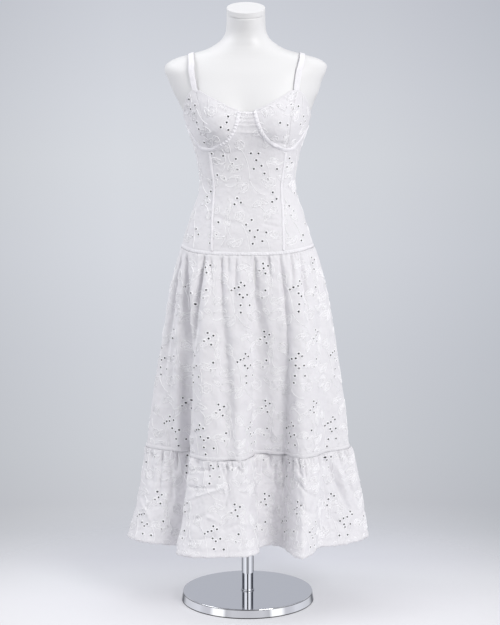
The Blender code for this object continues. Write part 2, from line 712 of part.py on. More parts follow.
def build_skirt():
    for name, first in (("front", 0), ("back", 1)):
        grid = tier_grid(first, UPPER_COLUMNS, UPPER_ROWS, WAIST_SEAM - SKIRT_SEAM_GAP, TIER_SEAM)
        wall("upper_tier_" + name, upper_tier, *grid, COTTON)
        top = TIER_SEAM - SKIRT_SEAM_GAP
        grid = tier_grid(first, FLOUNCE_COLUMNS, FLOUNCE_ROWS, top, hem_height)
        wall("flounce_" + name, flounce, *grid, COTTON)
    place = np.linspace(0, 2, 2 * UPPER_COLUMNS, endpoint=False)[None, :]
    height = TIER_SEAM + np.array([0.0, 1.0])[:, None] * TIER_BAND_HEIGHT
    lift = CLOTH / 2 + BAND_GAP + BAND_CLOTH / 2
    wall("tier_band", upper_tier, place, height, COTTON, BAND_CLOTH, lift, ring=True)


def main():
    for thing in list(bpy.data.objects):
        bpy.data.objects.remove(thing)
    build_stand()
    build_form()
    build_centre_front()
    build_waist_band()
    for name, side in (("left", -1), ("right", 1)):
        build_side_front(name, side)
        build_cups(name, side)
        build_back(name, side)
        build_strips(name, side)
        build_strap(name, side)
    build_skirt()


main()
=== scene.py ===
# A white eyelet dress with a gathered, tiered skirt on a limbless dress form. Metres, +Z up,
# the dress faces -Y, left is -X. Angles are degrees round the figure, 0 in front, 90 at its right.
import json
import math

import bpy
import numpy as np
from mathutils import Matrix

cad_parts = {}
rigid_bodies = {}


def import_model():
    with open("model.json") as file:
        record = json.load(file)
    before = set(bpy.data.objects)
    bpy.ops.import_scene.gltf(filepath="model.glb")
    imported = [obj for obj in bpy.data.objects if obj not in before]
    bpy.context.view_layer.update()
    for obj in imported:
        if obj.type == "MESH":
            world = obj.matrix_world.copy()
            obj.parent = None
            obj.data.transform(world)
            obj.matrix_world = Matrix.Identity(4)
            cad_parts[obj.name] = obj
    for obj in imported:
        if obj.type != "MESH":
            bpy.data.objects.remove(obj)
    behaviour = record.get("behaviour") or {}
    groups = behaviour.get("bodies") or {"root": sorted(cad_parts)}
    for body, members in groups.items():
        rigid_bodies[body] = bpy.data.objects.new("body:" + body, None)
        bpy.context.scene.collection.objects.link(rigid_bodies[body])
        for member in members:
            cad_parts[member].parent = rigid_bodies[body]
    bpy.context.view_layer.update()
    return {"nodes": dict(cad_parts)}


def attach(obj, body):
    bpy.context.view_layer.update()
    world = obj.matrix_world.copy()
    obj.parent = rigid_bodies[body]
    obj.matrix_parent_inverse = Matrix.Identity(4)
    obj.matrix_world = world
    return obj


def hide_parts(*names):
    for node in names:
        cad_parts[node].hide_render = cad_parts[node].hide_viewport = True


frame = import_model()
print("frame loaded with", len(frame["nodes"]), "nodes")


# Shader maths

class Signal:
    # one output of a shader node; arithmetic on it adds Math nodes to its finish
    def __init__(self, finish, socket):
        self.finish = finish
        self.socket = socket

    def math(self, operation, *others, swap=False):
        # a Math node of this and the others, swapped where this stands second
        values = [self, *others]
        if swap:
            values.reverse()
        return self.finish.node("ShaderNodeMath", {"operation": operation}, dict(enumerate(values)))

    def __add__(self, other):
        return self.math("ADD", other)

    def __sub__(self, other):
        return self.math("SUBTRACT", other)

    def __mul__(self, other):
        return self.math("MULTIPLY", other)

    def __truediv__(self, other):
        return self.math("DIVIDE", other)

    def __pow__(self, other):
        return self.math("POWER", other)

    def __rsub__(self, other):
        return self.math("SUBTRACT", other, swap=True)

    def __rtruediv__(self, other):
        return self.math("DIVIDE", other, swap=True)

    __radd__ = __add__
    __rmul__ = __mul__


class Finish:
    # a material or a world: its one method adds any node, with settings first and then values or links
    def __init__(self, owner, shader="Principled BSDF", **fixed):
        owner.use_nodes = True
        self.material = owner
        self.tree = owner.node_tree
        self.shader = self.tree.nodes[shader]
        for socket, value in fixed.items():
            self.shader.inputs[socket.replace("_", " ")].default_value = value

    def node(self, kind, settings=None, values=None, output=0):
        made = self.tree.nodes.new(kind)
        for name, value in (settings or {}).items():
            if name == "stops":
                ramp = made.color_ramp
                while len(ramp.elements) < len(value):
                    ramp.elements.new(0.5)
                for element, (place, colour) in zip(ramp.elements, value):
                    element.position = place
                    element.color = (*colour, 1.0)
            else:
                setattr(made, name, value)
        for name, value in (values or {}).items():
            self.set(made.inputs[name], value)
        return Signal(self, made.outputs[output])

    def set(self, socket, value):
        # a link from a signal, or else a fixed value
        if isinstance(value, Signal):
            self.tree.links.new(value.socket, socket)
        else:
            socket.default_value = value

    def feed(self, socket, value):
        self.set(self.shader.inputs[socket], value)

    def coordinates(self, output="Object"):
        # the object's own metres, or another of that node's outputs
        return self.node("ShaderNodeTexCoord", output=output)

    def noise(self, where, scale, detail=3.0, roughness=0.5):
        values = {"Vector": where, "Scale": scale, "Detail": detail, "Roughness": roughness}
        return self.node("ShaderNodeTexNoise", None, values)

    def tint(self, factor, low, high):
        # a colour between two, by a factor from 0 to 1
        values = {0: factor, 6: (*low, 1.0), 7: (*high, 1.0)}
        return self.node("ShaderNodeMix", {"data_type": "RGBA"}, values, output=2)

    def bump(self, height, distance, strength):
        values = {"Strength": strength, "Distance": distance, "Height": height}
        return self.node("ShaderNodeBump", None, values)


# Tables and smooth curves

def unit(vectors):
    # each vector divided by its length
    return vectors / np.linalg.norm(vectors, axis=-1, keepdims=True)


def bell(distance, width):
    # 1 in the middle, fading as exp(-(distance / width)^2)
    return np.exp(-(distance / width) ** 2)


def readTable(table, name, by, at):
    # one column at any value of another, by a cubic whose slopes are the rows' harmonic means,
    # so it never passes the rows
    columns = table["columns"]
    rows = np.array(sorted(table["rows"], key=lambda row: row[columns.index(by)]), float)
    known, value = rows[:, columns.index(by)], rows[:, columns.index(name)]
    step = np.diff(known)
    rise = np.diff(value) / step
    before, after = rise[:-1], rise[1:]
    near, far = 2 * step[1:] + step[:-1], step[1:] + 2 * step[:-1]
    sameWay = before * after > 0
    below = np.where(sameWay, near * after + far * before, 1.0)
    middle = np.where(sameWay, (near + far) * before * after / below, 0.0)
    slope = np.concatenate([rise[:1], middle, rise[-1:]])
    at = np.clip(at, known[0], known[-1])
    row = np.clip(np.searchsorted(known, at, side="right") - 1, 0, len(step) - 1)
    part = (at - known[row]) / step[row]
    return hermite(part, value[row], value[row + 1], slope[row] * step[row], slope[row + 1] * step[row])


def hermite(part, start, end, leaving, arriving):
    # start + (end - start)(3t^2 - 2t^3), plus the slopes' shares t(1-t)^2 and t^2(t-1)
    eased = part * part * (3 - 2 * part)
    return (start * (1 - eased) + end * eased
            + leaving * part * (1 - part) ** 2 + arriving * part * part * (part - 1))


def closedCurve(knots, points, at):
    # a closed curve through points, its slope at each the mean of its two sides
    total = knots[-1]
    wideKnots = np.concatenate([knots[-3:-1] - total, knots, knots[1:3] + total])
    wide = np.concatenate([points[-2:], points, points[:3]])
    slope = np.gradient(wide, wideKnots, axis=0)
    at = np.mod(at, total)
    row = np.searchsorted(wideKnots, at, side="right") - 1
    step = (wideKnots[row + 1] - wideKnots[row])[..., None]
    part = (at - wideKnots[row])[..., None] / step
    return hermite(part, wide[row], wide[row + 1], slope[row] * step, slope[row + 1] * step)


def smoothStep(low, high, at):
    # 0 below low, 1 above high, 3t^2 - 2t^3 between
    part = np.clip((at - low) / (high - low), 0, 1)
    return part * part * (3 - 2 * part)


# The figure, which the form has and the bodice is fitted to

figure = {
    "columns": ("height", "halfWidth", "front", "back", "square", "tilt", "lean"),
    "rows": (
        (0.76, 0.13, 0.08, 0.088, 0.07, 0, 0), (0.764, 0.144, 0.09, 0.099, 0.07, 0, 0),
        (0.775, 0.1515, 0.097, 0.108, 0.07, 0, 0), (0.82, 0.1575, 0.103, 0.115, 0.07, 0, 0),
        (0.874, 0.1545, 0.1015, 0.111, 0.07, 0, 0), (0.915, 0.1428, 0.096, 0.101, 0.07, 0, 0),
        (0.963, 0.127, 0.087, 0.088, 0.07, 0, 0), (1, 0.1145, 0.0805, 0.08, 0.07, 0, 0),
        (1.03, 0.1102, 0.0785, 0.077, 0.07, 0, 0), (1.06, 0.1135, 0.08, 0.079, 0.07, 0, 0),
        (1.106, 0.1225, 0.0845, 0.086, 0.07, 0, 0), (1.154, 0.138, 0.088, 0.096, 0.07, 0, -0.0002),
        (1.187, 0.1475, 0.089, 0.103, 0.08, 0, -0.001), (1.215, 0.1585, 0.088, 0.107, 0.09, 0, -0.0025),
        (1.243, 0.1715, 0.085, 0.1075, 0.1, 0, -0.0038), (1.272, 0.182, 0.078, 0.103, 0.1, 0, -0.0055),
        (1.292, 0.1905, 0.0715, 0.096, 0.09, 0, -0.0055), (1.303, 0.192, 0.0665, 0.091, 0.08, 0, -0.0038),
        (1.313, 0.1845, 0.062, 0.086, 0.06, 0, -0.0025), (1.323, 0.166, 0.0575, 0.081, 0.04, 0, -0.002),
        (1.333, 0.13, 0.054, 0.075, 0.03, 0, -0.0022), (1.344, 0.093, 0.0515, 0.069, 0.02, 0.01, -0.003),
        (1.356, 0.071, 0.05, 0.062, 0.01, 0.03, -0.0034), (1.37, 0.055, 0.05, 0.054, 0, 0.07, -0.0036),
        (1.388, 0.0472, 0.052, 0.044, 0, 0.15, -0.0037), (1.408, 0.0458, 0.058, 0.032, 0, 0.25, -0.0038),
        (1.4275, 0.0452, 0.066, 0.02, 0, 0.327, -0.0038),
    ),
    "bustX": 0.077, "bustHeight": 1.166, "bustHalfWidth": 0.043, "bustAbove": 0.052, "bustBelow": 0.031,
    "formBust": 0.037,
    "cupBust": 0.042,
    "ease": 0.003,              # how far the bodice's middle stands off the form
}


def figureColumn(name, height):
    # one column of the figure's table at any height
    return readTable(figure, name, "height", height)


def figureSurface(angle, height, ease=0.0, bust=figure["formBust"]):
    # x = half width sin(angle), depth = front or back cos(angle) (1 + square sin^2(2 angle)),
    # plus two bell-shaped swellings in front, every section sheared by its tilt and its lean
    angle, height = np.broadcast_arrays(np.asarray(angle, float), np.asarray(height, float))
    front, back = (figureColumn(name, height) + ease for name in ("front", "back"))
    x = (figureColumn("halfWidth", height) + ease) * np.sin(np.radians(angle))
    along = np.cos(np.radians(angle))
    squared = 1 + figureColumn("square", height) * np.sin(np.radians(2 * angle)) ** 2
    depth = np.where(along > 0, front, back) * along * squared
    spread = np.where(height > figure["bustHeight"], figure["bustAbove"], figure["bustBelow"])
    swelling = sum(np.exp(-0.5 * ((x - side * figure["bustX"]) / figure["bustHalfWidth"]) ** 2)
                   for side in (-1, 1))
    swelling = swelling * np.exp(-0.5 * ((height - figure["bustHeight"]) / spread) ** 2)
    depth = depth + bust * swelling * np.clip(along, 0, 1)
    z = height - figureColumn("tilt", height) * (depth + (back - front) / 2)
    return np.stack([x + figureColumn("lean", height), -depth, z], axis=-1)


def bodiceSurface(angle, height):
    # the figure with the bodice's ease and the cups' fuller bust
    return figureSurface(angle, height, figure["ease"], figure["cupBust"])


# The skirt's rings

seams = {"waist": 0.874, "tier": 0.3835, "hem": 0.158, "hemWaver": 0.0025, "hemWaves": 3, "gap": 0.0003}
upperOutline = {
    "columns": ("height", "left", "right"),
    "rows": (
        (0.3835, 0.246, 0.248), (0.4, 0.2432, 0.2455), (0.4995, 0.2305, 0.2345), (0.5737, 0.219, 0.223),
        (0.6475, 0.2062, 0.2115), (0.7209, 0.1945, 0.2), (0.7697, 0.187, 0.19), (0.8182, 0.175, 0.178),
        (0.8425, 0.167, 0.1705), (0.874, 0.1575, 0.1575),
    ),
}
flounceOutline = {
    "columns": ("height", "left", "right"),
    "rows": (
        (0.158, 0.295, 0.2965), (0.2, 0.283, 0.29), (0.25, 0.269, 0.282), (0.3, 0.2602, 0.2728),
        (0.35, 0.2512, 0.2612), (0.372, 0.2475, 0.2545), (0.3835, 0.246, 0.248),
    ),
}
# each crest and valley at the tier seam and at the hem, once round from the left side seam
folds = {
    "onset": 1.15,
    "front": (
        (-0.246, 0, -0.295, 0), (-0.203, -0.038, -0.262, -0.058), (-0.166, -0.046, -0.205, -0.077),
        (-0.137, -0.05, -0.158, -0.078), (-0.133, -0.112, -0.168, -0.148), (-0.088, -0.148, -0.128, -0.185),
        (-0.04, -0.151, -0.055, -0.192), (-0.008, -0.143, 0.004, -0.183), (0.01, -0.106, 0.024, -0.15),
        (0.024, -0.064, 0.03, -0.088), (0.06, -0.054, 0.062, -0.068), (0.092, -0.062, 0.091, -0.086),
        (0.108, -0.104, 0.097, -0.14), (0.134, -0.123, 0.129, -0.205), (0.16, -0.106, 0.154, -0.16),
        (0.186, -0.064, 0.174, -0.092), (0.222, -0.04, 0.228, -0.072),
    ),
    "back": (
        (0.248, 0, 0.2965, 0), (0.228, 0.05, 0.268, 0.064), (0.188, 0.092, 0.222, 0.116),
        (0.158, 0.09, 0.184, 0.108), (0.134, 0.128, 0.163, 0.165), (0.096, 0.156, 0.112, 0.206),
        (0.048, 0.148, 0.052, 0.188), (0.022, 0.112, 0.026, 0.126), (-0.018, 0.106, -0.022, 0.118),
        (-0.046, 0.14, -0.05, 0.176), (-0.088, 0.16, -0.094, 0.212), (-0.13, 0.14, -0.148, 0.182),
        (-0.154, 0.094, -0.172, 0.112), (-0.192, 0.088, -0.22, 0.114), (-0.23, 0.05, -0.27, 0.066),
    ),
}
waistGathers = {"seam": seams["waist"], "count": 13, "depth": 0.0035, "fade": 0.050}
flounceGathers = {"seam": seams["tier"], "count": 21, "depth": 0.0055, "fade": 0.045}
gatherForm = {"start": 0.005, "shut": 0.35, "drift": 0.9, "uneven": 0.25, "nearby": 0.002}
outlineBlend = 0.05             # the left and right outlines meet over this much to each side


def foldKnots():
    # how far round each fold lies: from 0 to 1 in front and from 1 to 2 behind, by the hem's length
    knots = []
    front, back = np.array(folds["front"]), np.array(folds["back"])
    halves = (np.concatenate([front, back[:1]]), np.concatenate([back, front[:1]]))
    for number, half in enumerate(halves):
        steps = np.linalg.norm(np.diff(half[:, 2:], axis=0), axis=1)
        knots.append(number + np.cumsum(np.append(0, steps))[:-1] / steps.sum())
    return np.append(np.concatenate(knots), 2.0)


def foldRing(level, place):
    # the closed curve through the crests and valleys at the tier seam or hem
    first = {"tier": 0, "hem": 2}[level]
    points = np.array(folds["front"] + folds["back"])[:, first:first + 2]
    return closedCurve(foldKnots(), points, place)


def outlineShare(table, x, height):
    # how wide the skirt is at a height against its first row: left and right, eased over the middle
    left, right = (readTable(table, side, "height", height) / table["rows"][0][column]
                   for column, side in ((1, "left"), (2, "right")))
    return left + (right - left) * smoothStep(-outlineBlend, outlineBlend, x)


def upperRing(place, height):
    # passes from the bodice's section at the waist to the folded ring at the tier seam
    waist = bodiceSurface(180 * (place - 0.5), seams["waist"])
    fallen = (seams["waist"] - height) / (seams["waist"] - seams["tier"])
    folded = np.clip(fallen, 0, 1) ** folds["onset"]
    tier = foldRing("tier", place)
    share = outlineShare(upperOutline, tier[..., 0], height)
    swell = share / outlineShare(upperOutline, tier[..., 0], seams["waist"])
    x = (1 - folded) * waist[..., 0] * swell + folded * tier[..., 0] * share
    y = (1 - folded) * waist[..., 1] * swell + folded * tier[..., 1]
    return np.stack([x, y], axis=-1)


def flounceRing(place, height):
    # passes from the folded ring at the tier seam to the one at the hem
    fallen = np.clip((seams["tier"] - height) / (seams["tier"] - seams["hem"]), 0, 1)
    tier, hem = foldRing("tier", place), foldRing("hem", place)
    share = outlineShare(flounceOutline, hem[..., 0], height)
    grown = share / outlineShare(flounceOutline, hem[..., 0], seams["tier"])
    x = (1 - fallen) * tier[..., 0] * grown + fallen * hem[..., 0] * share
    y = (1 - fallen) * tier[..., 1] + fallen * hem[..., 1]
    return np.stack([x, y], axis=-1)


def gathered(ring, place, height, gathers):
    # the ring moved out by depth (0.5 + 0.5 cos(turn)), fading below the seam as exp(-below/fade)
    place, height = np.broadcast_arrays(np.asarray(place, float), np.asarray(height, float))
    below = np.clip(gathers["seam"] - height, 0, None)
    turn = 2 * math.pi * gathers["count"] * place
    turn = turn + gatherForm["drift"] * np.sin(5 * math.pi * place + 0.7)
    uneven = 1 + gatherForm["uneven"] * (np.sin(3 * math.pi * place - 1.8) - 1)
    opening = gatherForm["shut"] + (1 - gatherForm["shut"]) * below / gatherForm["start"]
    out = gathers["depth"] * uneven * (0.5 + 0.5 * np.cos(turn)) * np.clip(opening, 0, 1)
    out = out * np.exp(-below / gathers["fade"])
    nearby = gatherForm["nearby"]
    tangent = unit(ring(place + nearby, height) - ring(place - nearby, height))
    outward = np.stack([tangent[..., 1], -tangent[..., 0]], axis=-1)
    points = ring(place, height) + outward * out[..., None]
    return np.concatenate([points, height[..., None]], axis=-1)


def upperSurface(place, height):
    # the upper tier's ring with the waist seam's gathers
    return gathered(upperRing, place, height, waistGathers)


def flounceSurface(place, height):
    # the flounce's ring with the tier seam's gathers
    return gathered(flounceRing, place, height, flounceGathers)


# Meshes from grids

def slopes(surface, across, height, nearby=1e-4):
    # how a surface moves by its place across, whose step is nearby, and by height
    return ((surface(across + nearby, height) - surface(across - nearby, height)) / (2 * nearby),
            (surface(across, height + 1e-4) - surface(across, height - 1e-4)) / 2e-4)


def surfaceNormals(surface, across, height):
    # the cross product of the two slopes, which faces out
    return unit(np.cross(*slopes(surface, across, height)))


def gridQuads(index):
    # each cell of a grid of vertex numbers as a quad
    corners = [index[:-1, :-1], index[:-1, 1:], index[1:, 1:], index[1:, :-1]]
    return np.stack(corners, axis=-1).reshape(-1, 4)


def wrapped(index):
    # a grid's columns with the first one again after the last
    return np.concatenate([index, index[:, :1]], axis=1)


def capped(index, low, high):
    # a closed tube of quads with a fan of triangles round a pole at each end
    index = wrapped(index)
    below, above = (np.full(index.shape[1] - 1, pole) for pole in (low, high))
    return [gridQuads(index), np.stack([index[0, 1:], index[0, :-1], below], axis=-1),
            np.stack([index[-1, :-1], index[-1, 1:], above], axis=-1)]


def linked(name, data):
    # a new object of the scene with this data
    thing = bpy.data.objects.new(name, data)
    bpy.context.scene.collection.objects.link(thing)
    return thing


def addPiece(name, points, faces, material, replaced=()):
    # one mesh from arrays of points and of faces, which each have one number of corners
    corners = np.concatenate([face.ravel() for face in faces]).astype(np.int32)
    sizes = np.concatenate([np.full(len(face), face.shape[1]) for face in faces])
    starts = np.append(0, np.cumsum(sizes)[:-1]).astype(np.int32)
    mesh = bpy.data.meshes.new(name)
    mesh.vertices.add(len(points))
    mesh.vertices.foreach_set("co", np.asarray(points, np.float32).ravel())
    mesh.loops.add(len(corners))
    mesh.loops.foreach_set("vertex_index", corners)
    mesh.polygons.add(len(sizes))
    mesh.polygons.foreach_set("loop_start", starts)
    mesh.update(calc_edges=True)
    mesh.shade_smooth()
    mesh.materials.append(material)
    piece = linked(name, mesh)
    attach(piece, "root")
    if replaced:
        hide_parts(*replaced)
    return piece


def addWall(name, middle, normal, thickness, material, replaced=(), ring=False, crown=0.0):
    # a closed wall round a grid of middle points; a crown raises its outer side alone
    crown = np.broadcast_to(crown, middle.shape[:2])
    facing = np.cross(np.gradient(middle, axis=1), np.gradient(middle, axis=0))
    if (facing * normal).sum() < 0:
        middle, normal, crown = middle[:, ::-1], normal[:, ::-1], crown[:, ::-1]
    outer = middle + normal * (thickness / 2 + crown[..., None])
    inner = middle - normal * thickness / 2
    rows, columns = middle.shape[:2]
    index = np.arange(rows * columns).reshape(rows, columns)
    if ring:
        index = wrapped(index)
    outside, inside = index, index + rows * columns
    rims = [(outside[0], inside[0]), (inside[-1], outside[-1])]
    if not ring:
        rims += [(inside[:, 0], outside[:, 0]), (outside[:, -1], inside[:, -1])]
    faces = [gridQuads(outside), gridQuads(inside)[:, ::-1]]
    faces += [gridQuads(np.stack([second, first])) for first, second in rims]
    points = np.concatenate([outer.reshape(-1, 3), inner.reshape(-1, 3)])
    return addPiece(name, points, faces, material, replaced)


def addTurned(name, profile, sides, material, replaced=(), place=(0.0, 0.0, 0.0), lean=0.0):
    # (radius, height) rows from below, turned about an axis; a ring's inner side needs no poles
    closed = profile[0][0] > 0
    rows = np.array(profile if closed else profile[1:-1], float)
    turn = np.linspace(0, 2 * math.pi, sides, endpoint=False)
    rings = np.stack(np.broadcast_arrays(rows[:, :1] * np.cos(turn), rows[:, :1] * np.sin(turn),
                                         rows[:, 1:]), axis=-1)
    index = np.arange(rings.shape[0] * sides).reshape(-1, sides)
    points = rings.reshape(-1, 3)
    if closed:
        faces = [gridQuads(wrapped(np.concatenate([index, index[:1]])))]
    else:
        faces = capped(index, len(points), len(points) + 1)
        points = np.concatenate([points, [(0, 0, profile[0][1]), (0, 0, profile[-1][1])]])
    y, z = points[:, 1], points[:, 2]
    points = np.stack([points[:, 0], y * math.cos(lean) - z * math.sin(lean),
                       y * math.sin(lean) + z * math.cos(lean)], axis=-1) + np.array(place)
    return addPiece(name, points, faces, material, replaced)


def softened(corners, radius, steps=5, closed=False):
    # a profile with each inner corner rounded, and one more row beside each rounding
    corners = np.array(corners, float)
    made = [] if closed else [corners[0]]
    for number in range(len(corners)) if closed else range(1, len(corners) - 1):
        here = corners[number]
        back, on = corners[number - 1] - here, corners[(number + 1) % len(corners)] - here
        cut = min(radius, 0.45 * np.linalg.norm(back), 0.45 * np.linalg.norm(on))
        start = here + back / np.linalg.norm(back) * cut
        end = here + on / np.linalg.norm(on) * cut
        part = np.linspace(0, 1, steps)[:, None]
        arc = start * (1 - part) ** 2 + here * 2 * part * (1 - part) + end * part ** 2
        made += [start + (start - here) * 0.08, *arc, end + (end - here) * 0.08]
    if not closed:
        made.append(corners[-1])
    return [tuple(row) for row in made]


def gridArea(points):
    # the sum of the parallelograms at each point
    across, up = np.diff(points, axis=1)[:-1], np.diff(points, axis=0)[:, :-1]
    return float(np.linalg.norm(np.cross(across, up), axis=-1).sum())


# Creases, crumple and pucker: heights that move a cloth's points along its normal

def troughs(rows, across, height, metres=1.0, tapered=False):
    # for each row (x0, y0, x1, y1, width, depth): depth exp(-(distance to that line / width)^2),
    # with so many metres of cloth to x; tapered, the depth falls off towards the line's ends
    total = np.zeros(np.broadcast(across, height).shape)
    for x0, y0, x1, y1, width, depth in rows:
        runX, runY = (x1 - x0) * metres, y1 - y0
        apartX, apartY = (across - x0) * metres, height - y0
        along = np.clip((apartX * runX + apartY * runY) / (runX ** 2 + runY ** 2), 0, 1)
        apart = np.hypot(apartX - along * runX, apartY - along * runY)
        full = np.sin(math.pi * (0.12 + 0.76 * along)) if tapered else 1.0
        total = total + depth * full * bell(apart, width)
    return total


def crumple(x, y, size, seed, waves=7):
    # soft ridges: the mean of 1 - |sin| over waves in many directions, each bent by another
    chance = np.random.default_rng(seed)
    total = np.zeros(np.broadcast(x, y).shape)
    for wave in range(waves):
        turn = math.pi * (wave + chance.uniform(0.1, 0.9)) / waves
        reach = 2 * math.pi / (size * chance.uniform(0.7, 1.7))
        bend = chance.uniform(0.6, 1.4) * np.sin(reach * 0.43 * (x * math.sin(turn) - y * math.cos(turn))
                                                 + chance.uniform(0, 6))
        swing = np.sin(reach * 0.5 * (x * math.cos(turn) + y * math.sin(turn))
                       + bend + chance.uniform(0, 6))
        total = total + 0.64 - np.sqrt(swing * swing + 0.01)
    return total / waves


# The three cloths that everything is laid on: their surfaces and how far these are creased

cotton = {
    "thickness": 0.0011,
    "seamGap": 0.0003,
    "seamSink": 0.0003,         # a panel's edge dips into its seam
    "seamSinkWidth": 0.0016,
    "stripThickness": 0.0003,   # at its edges, which come down to the cloth
    "stripGap": 0.0001,
    "stripRise": 0.0009,
}
bodiceCreases = {
    "degree": 0.0020,           # metres of cloth to a degree of angle
    "crumpleSize": 0.026, "crumple": 0.0010, "fineSize": 0.011, "fine": 0.0004,
    # in thousandths of a metre: x0, y0, x1, y1, width, depth; x is the angle times degree, y the height
    "troughs": (
        (-70, 956, -19, 938, 5, -1.3), (-39, 1003, 0, 964, 5.5, -1.3), (-62, 985, -80, 960, 4.5, -0.9),
        (33, 940.5, 62, 933, 3.2, -1.3), (34, 952, 60, 946, 3.2, -0.9), (32, 921.5, 59, 911, 3.4, -1.3),
        (10, 886, 36, 890, 4, -0.8), (-60, 894, -30, 888, 4, -0.8), (-60, 1112.5, -8, 1118, 4.5, 1.2),
        (-52, 1102, -14, 1108, 4, -1), (51, 1138, 85, 1133, 2.6, 1.6), (52, 1130, 88, 1125, 2.6, -1.4),
        (56, 1122.5, 84, 1118, 2.4, 1.4), (-92, 1126, -66, 1150, 5, -1.4), (14, 1030, 50, 1010, 5, -0.8),
        (-46, 1060, -70, 1040, 4.5, -0.8), (-90, 1040, -120, 1020, 5, -0.9), (94, 1030, 128, 1010, 5, -0.9),
        (92, 985, 130, 972, 4.5, -0.8), (-92, 975, -134, 960, 4.5, -0.8),
    ),
    "goreRidges": (1.1960, 1.1868, 1.1781, 1.1682, 1.1525),
    "goreReach": 0.019, "goreWidth": 0.0022, "goreHeight": 0.0030,
}
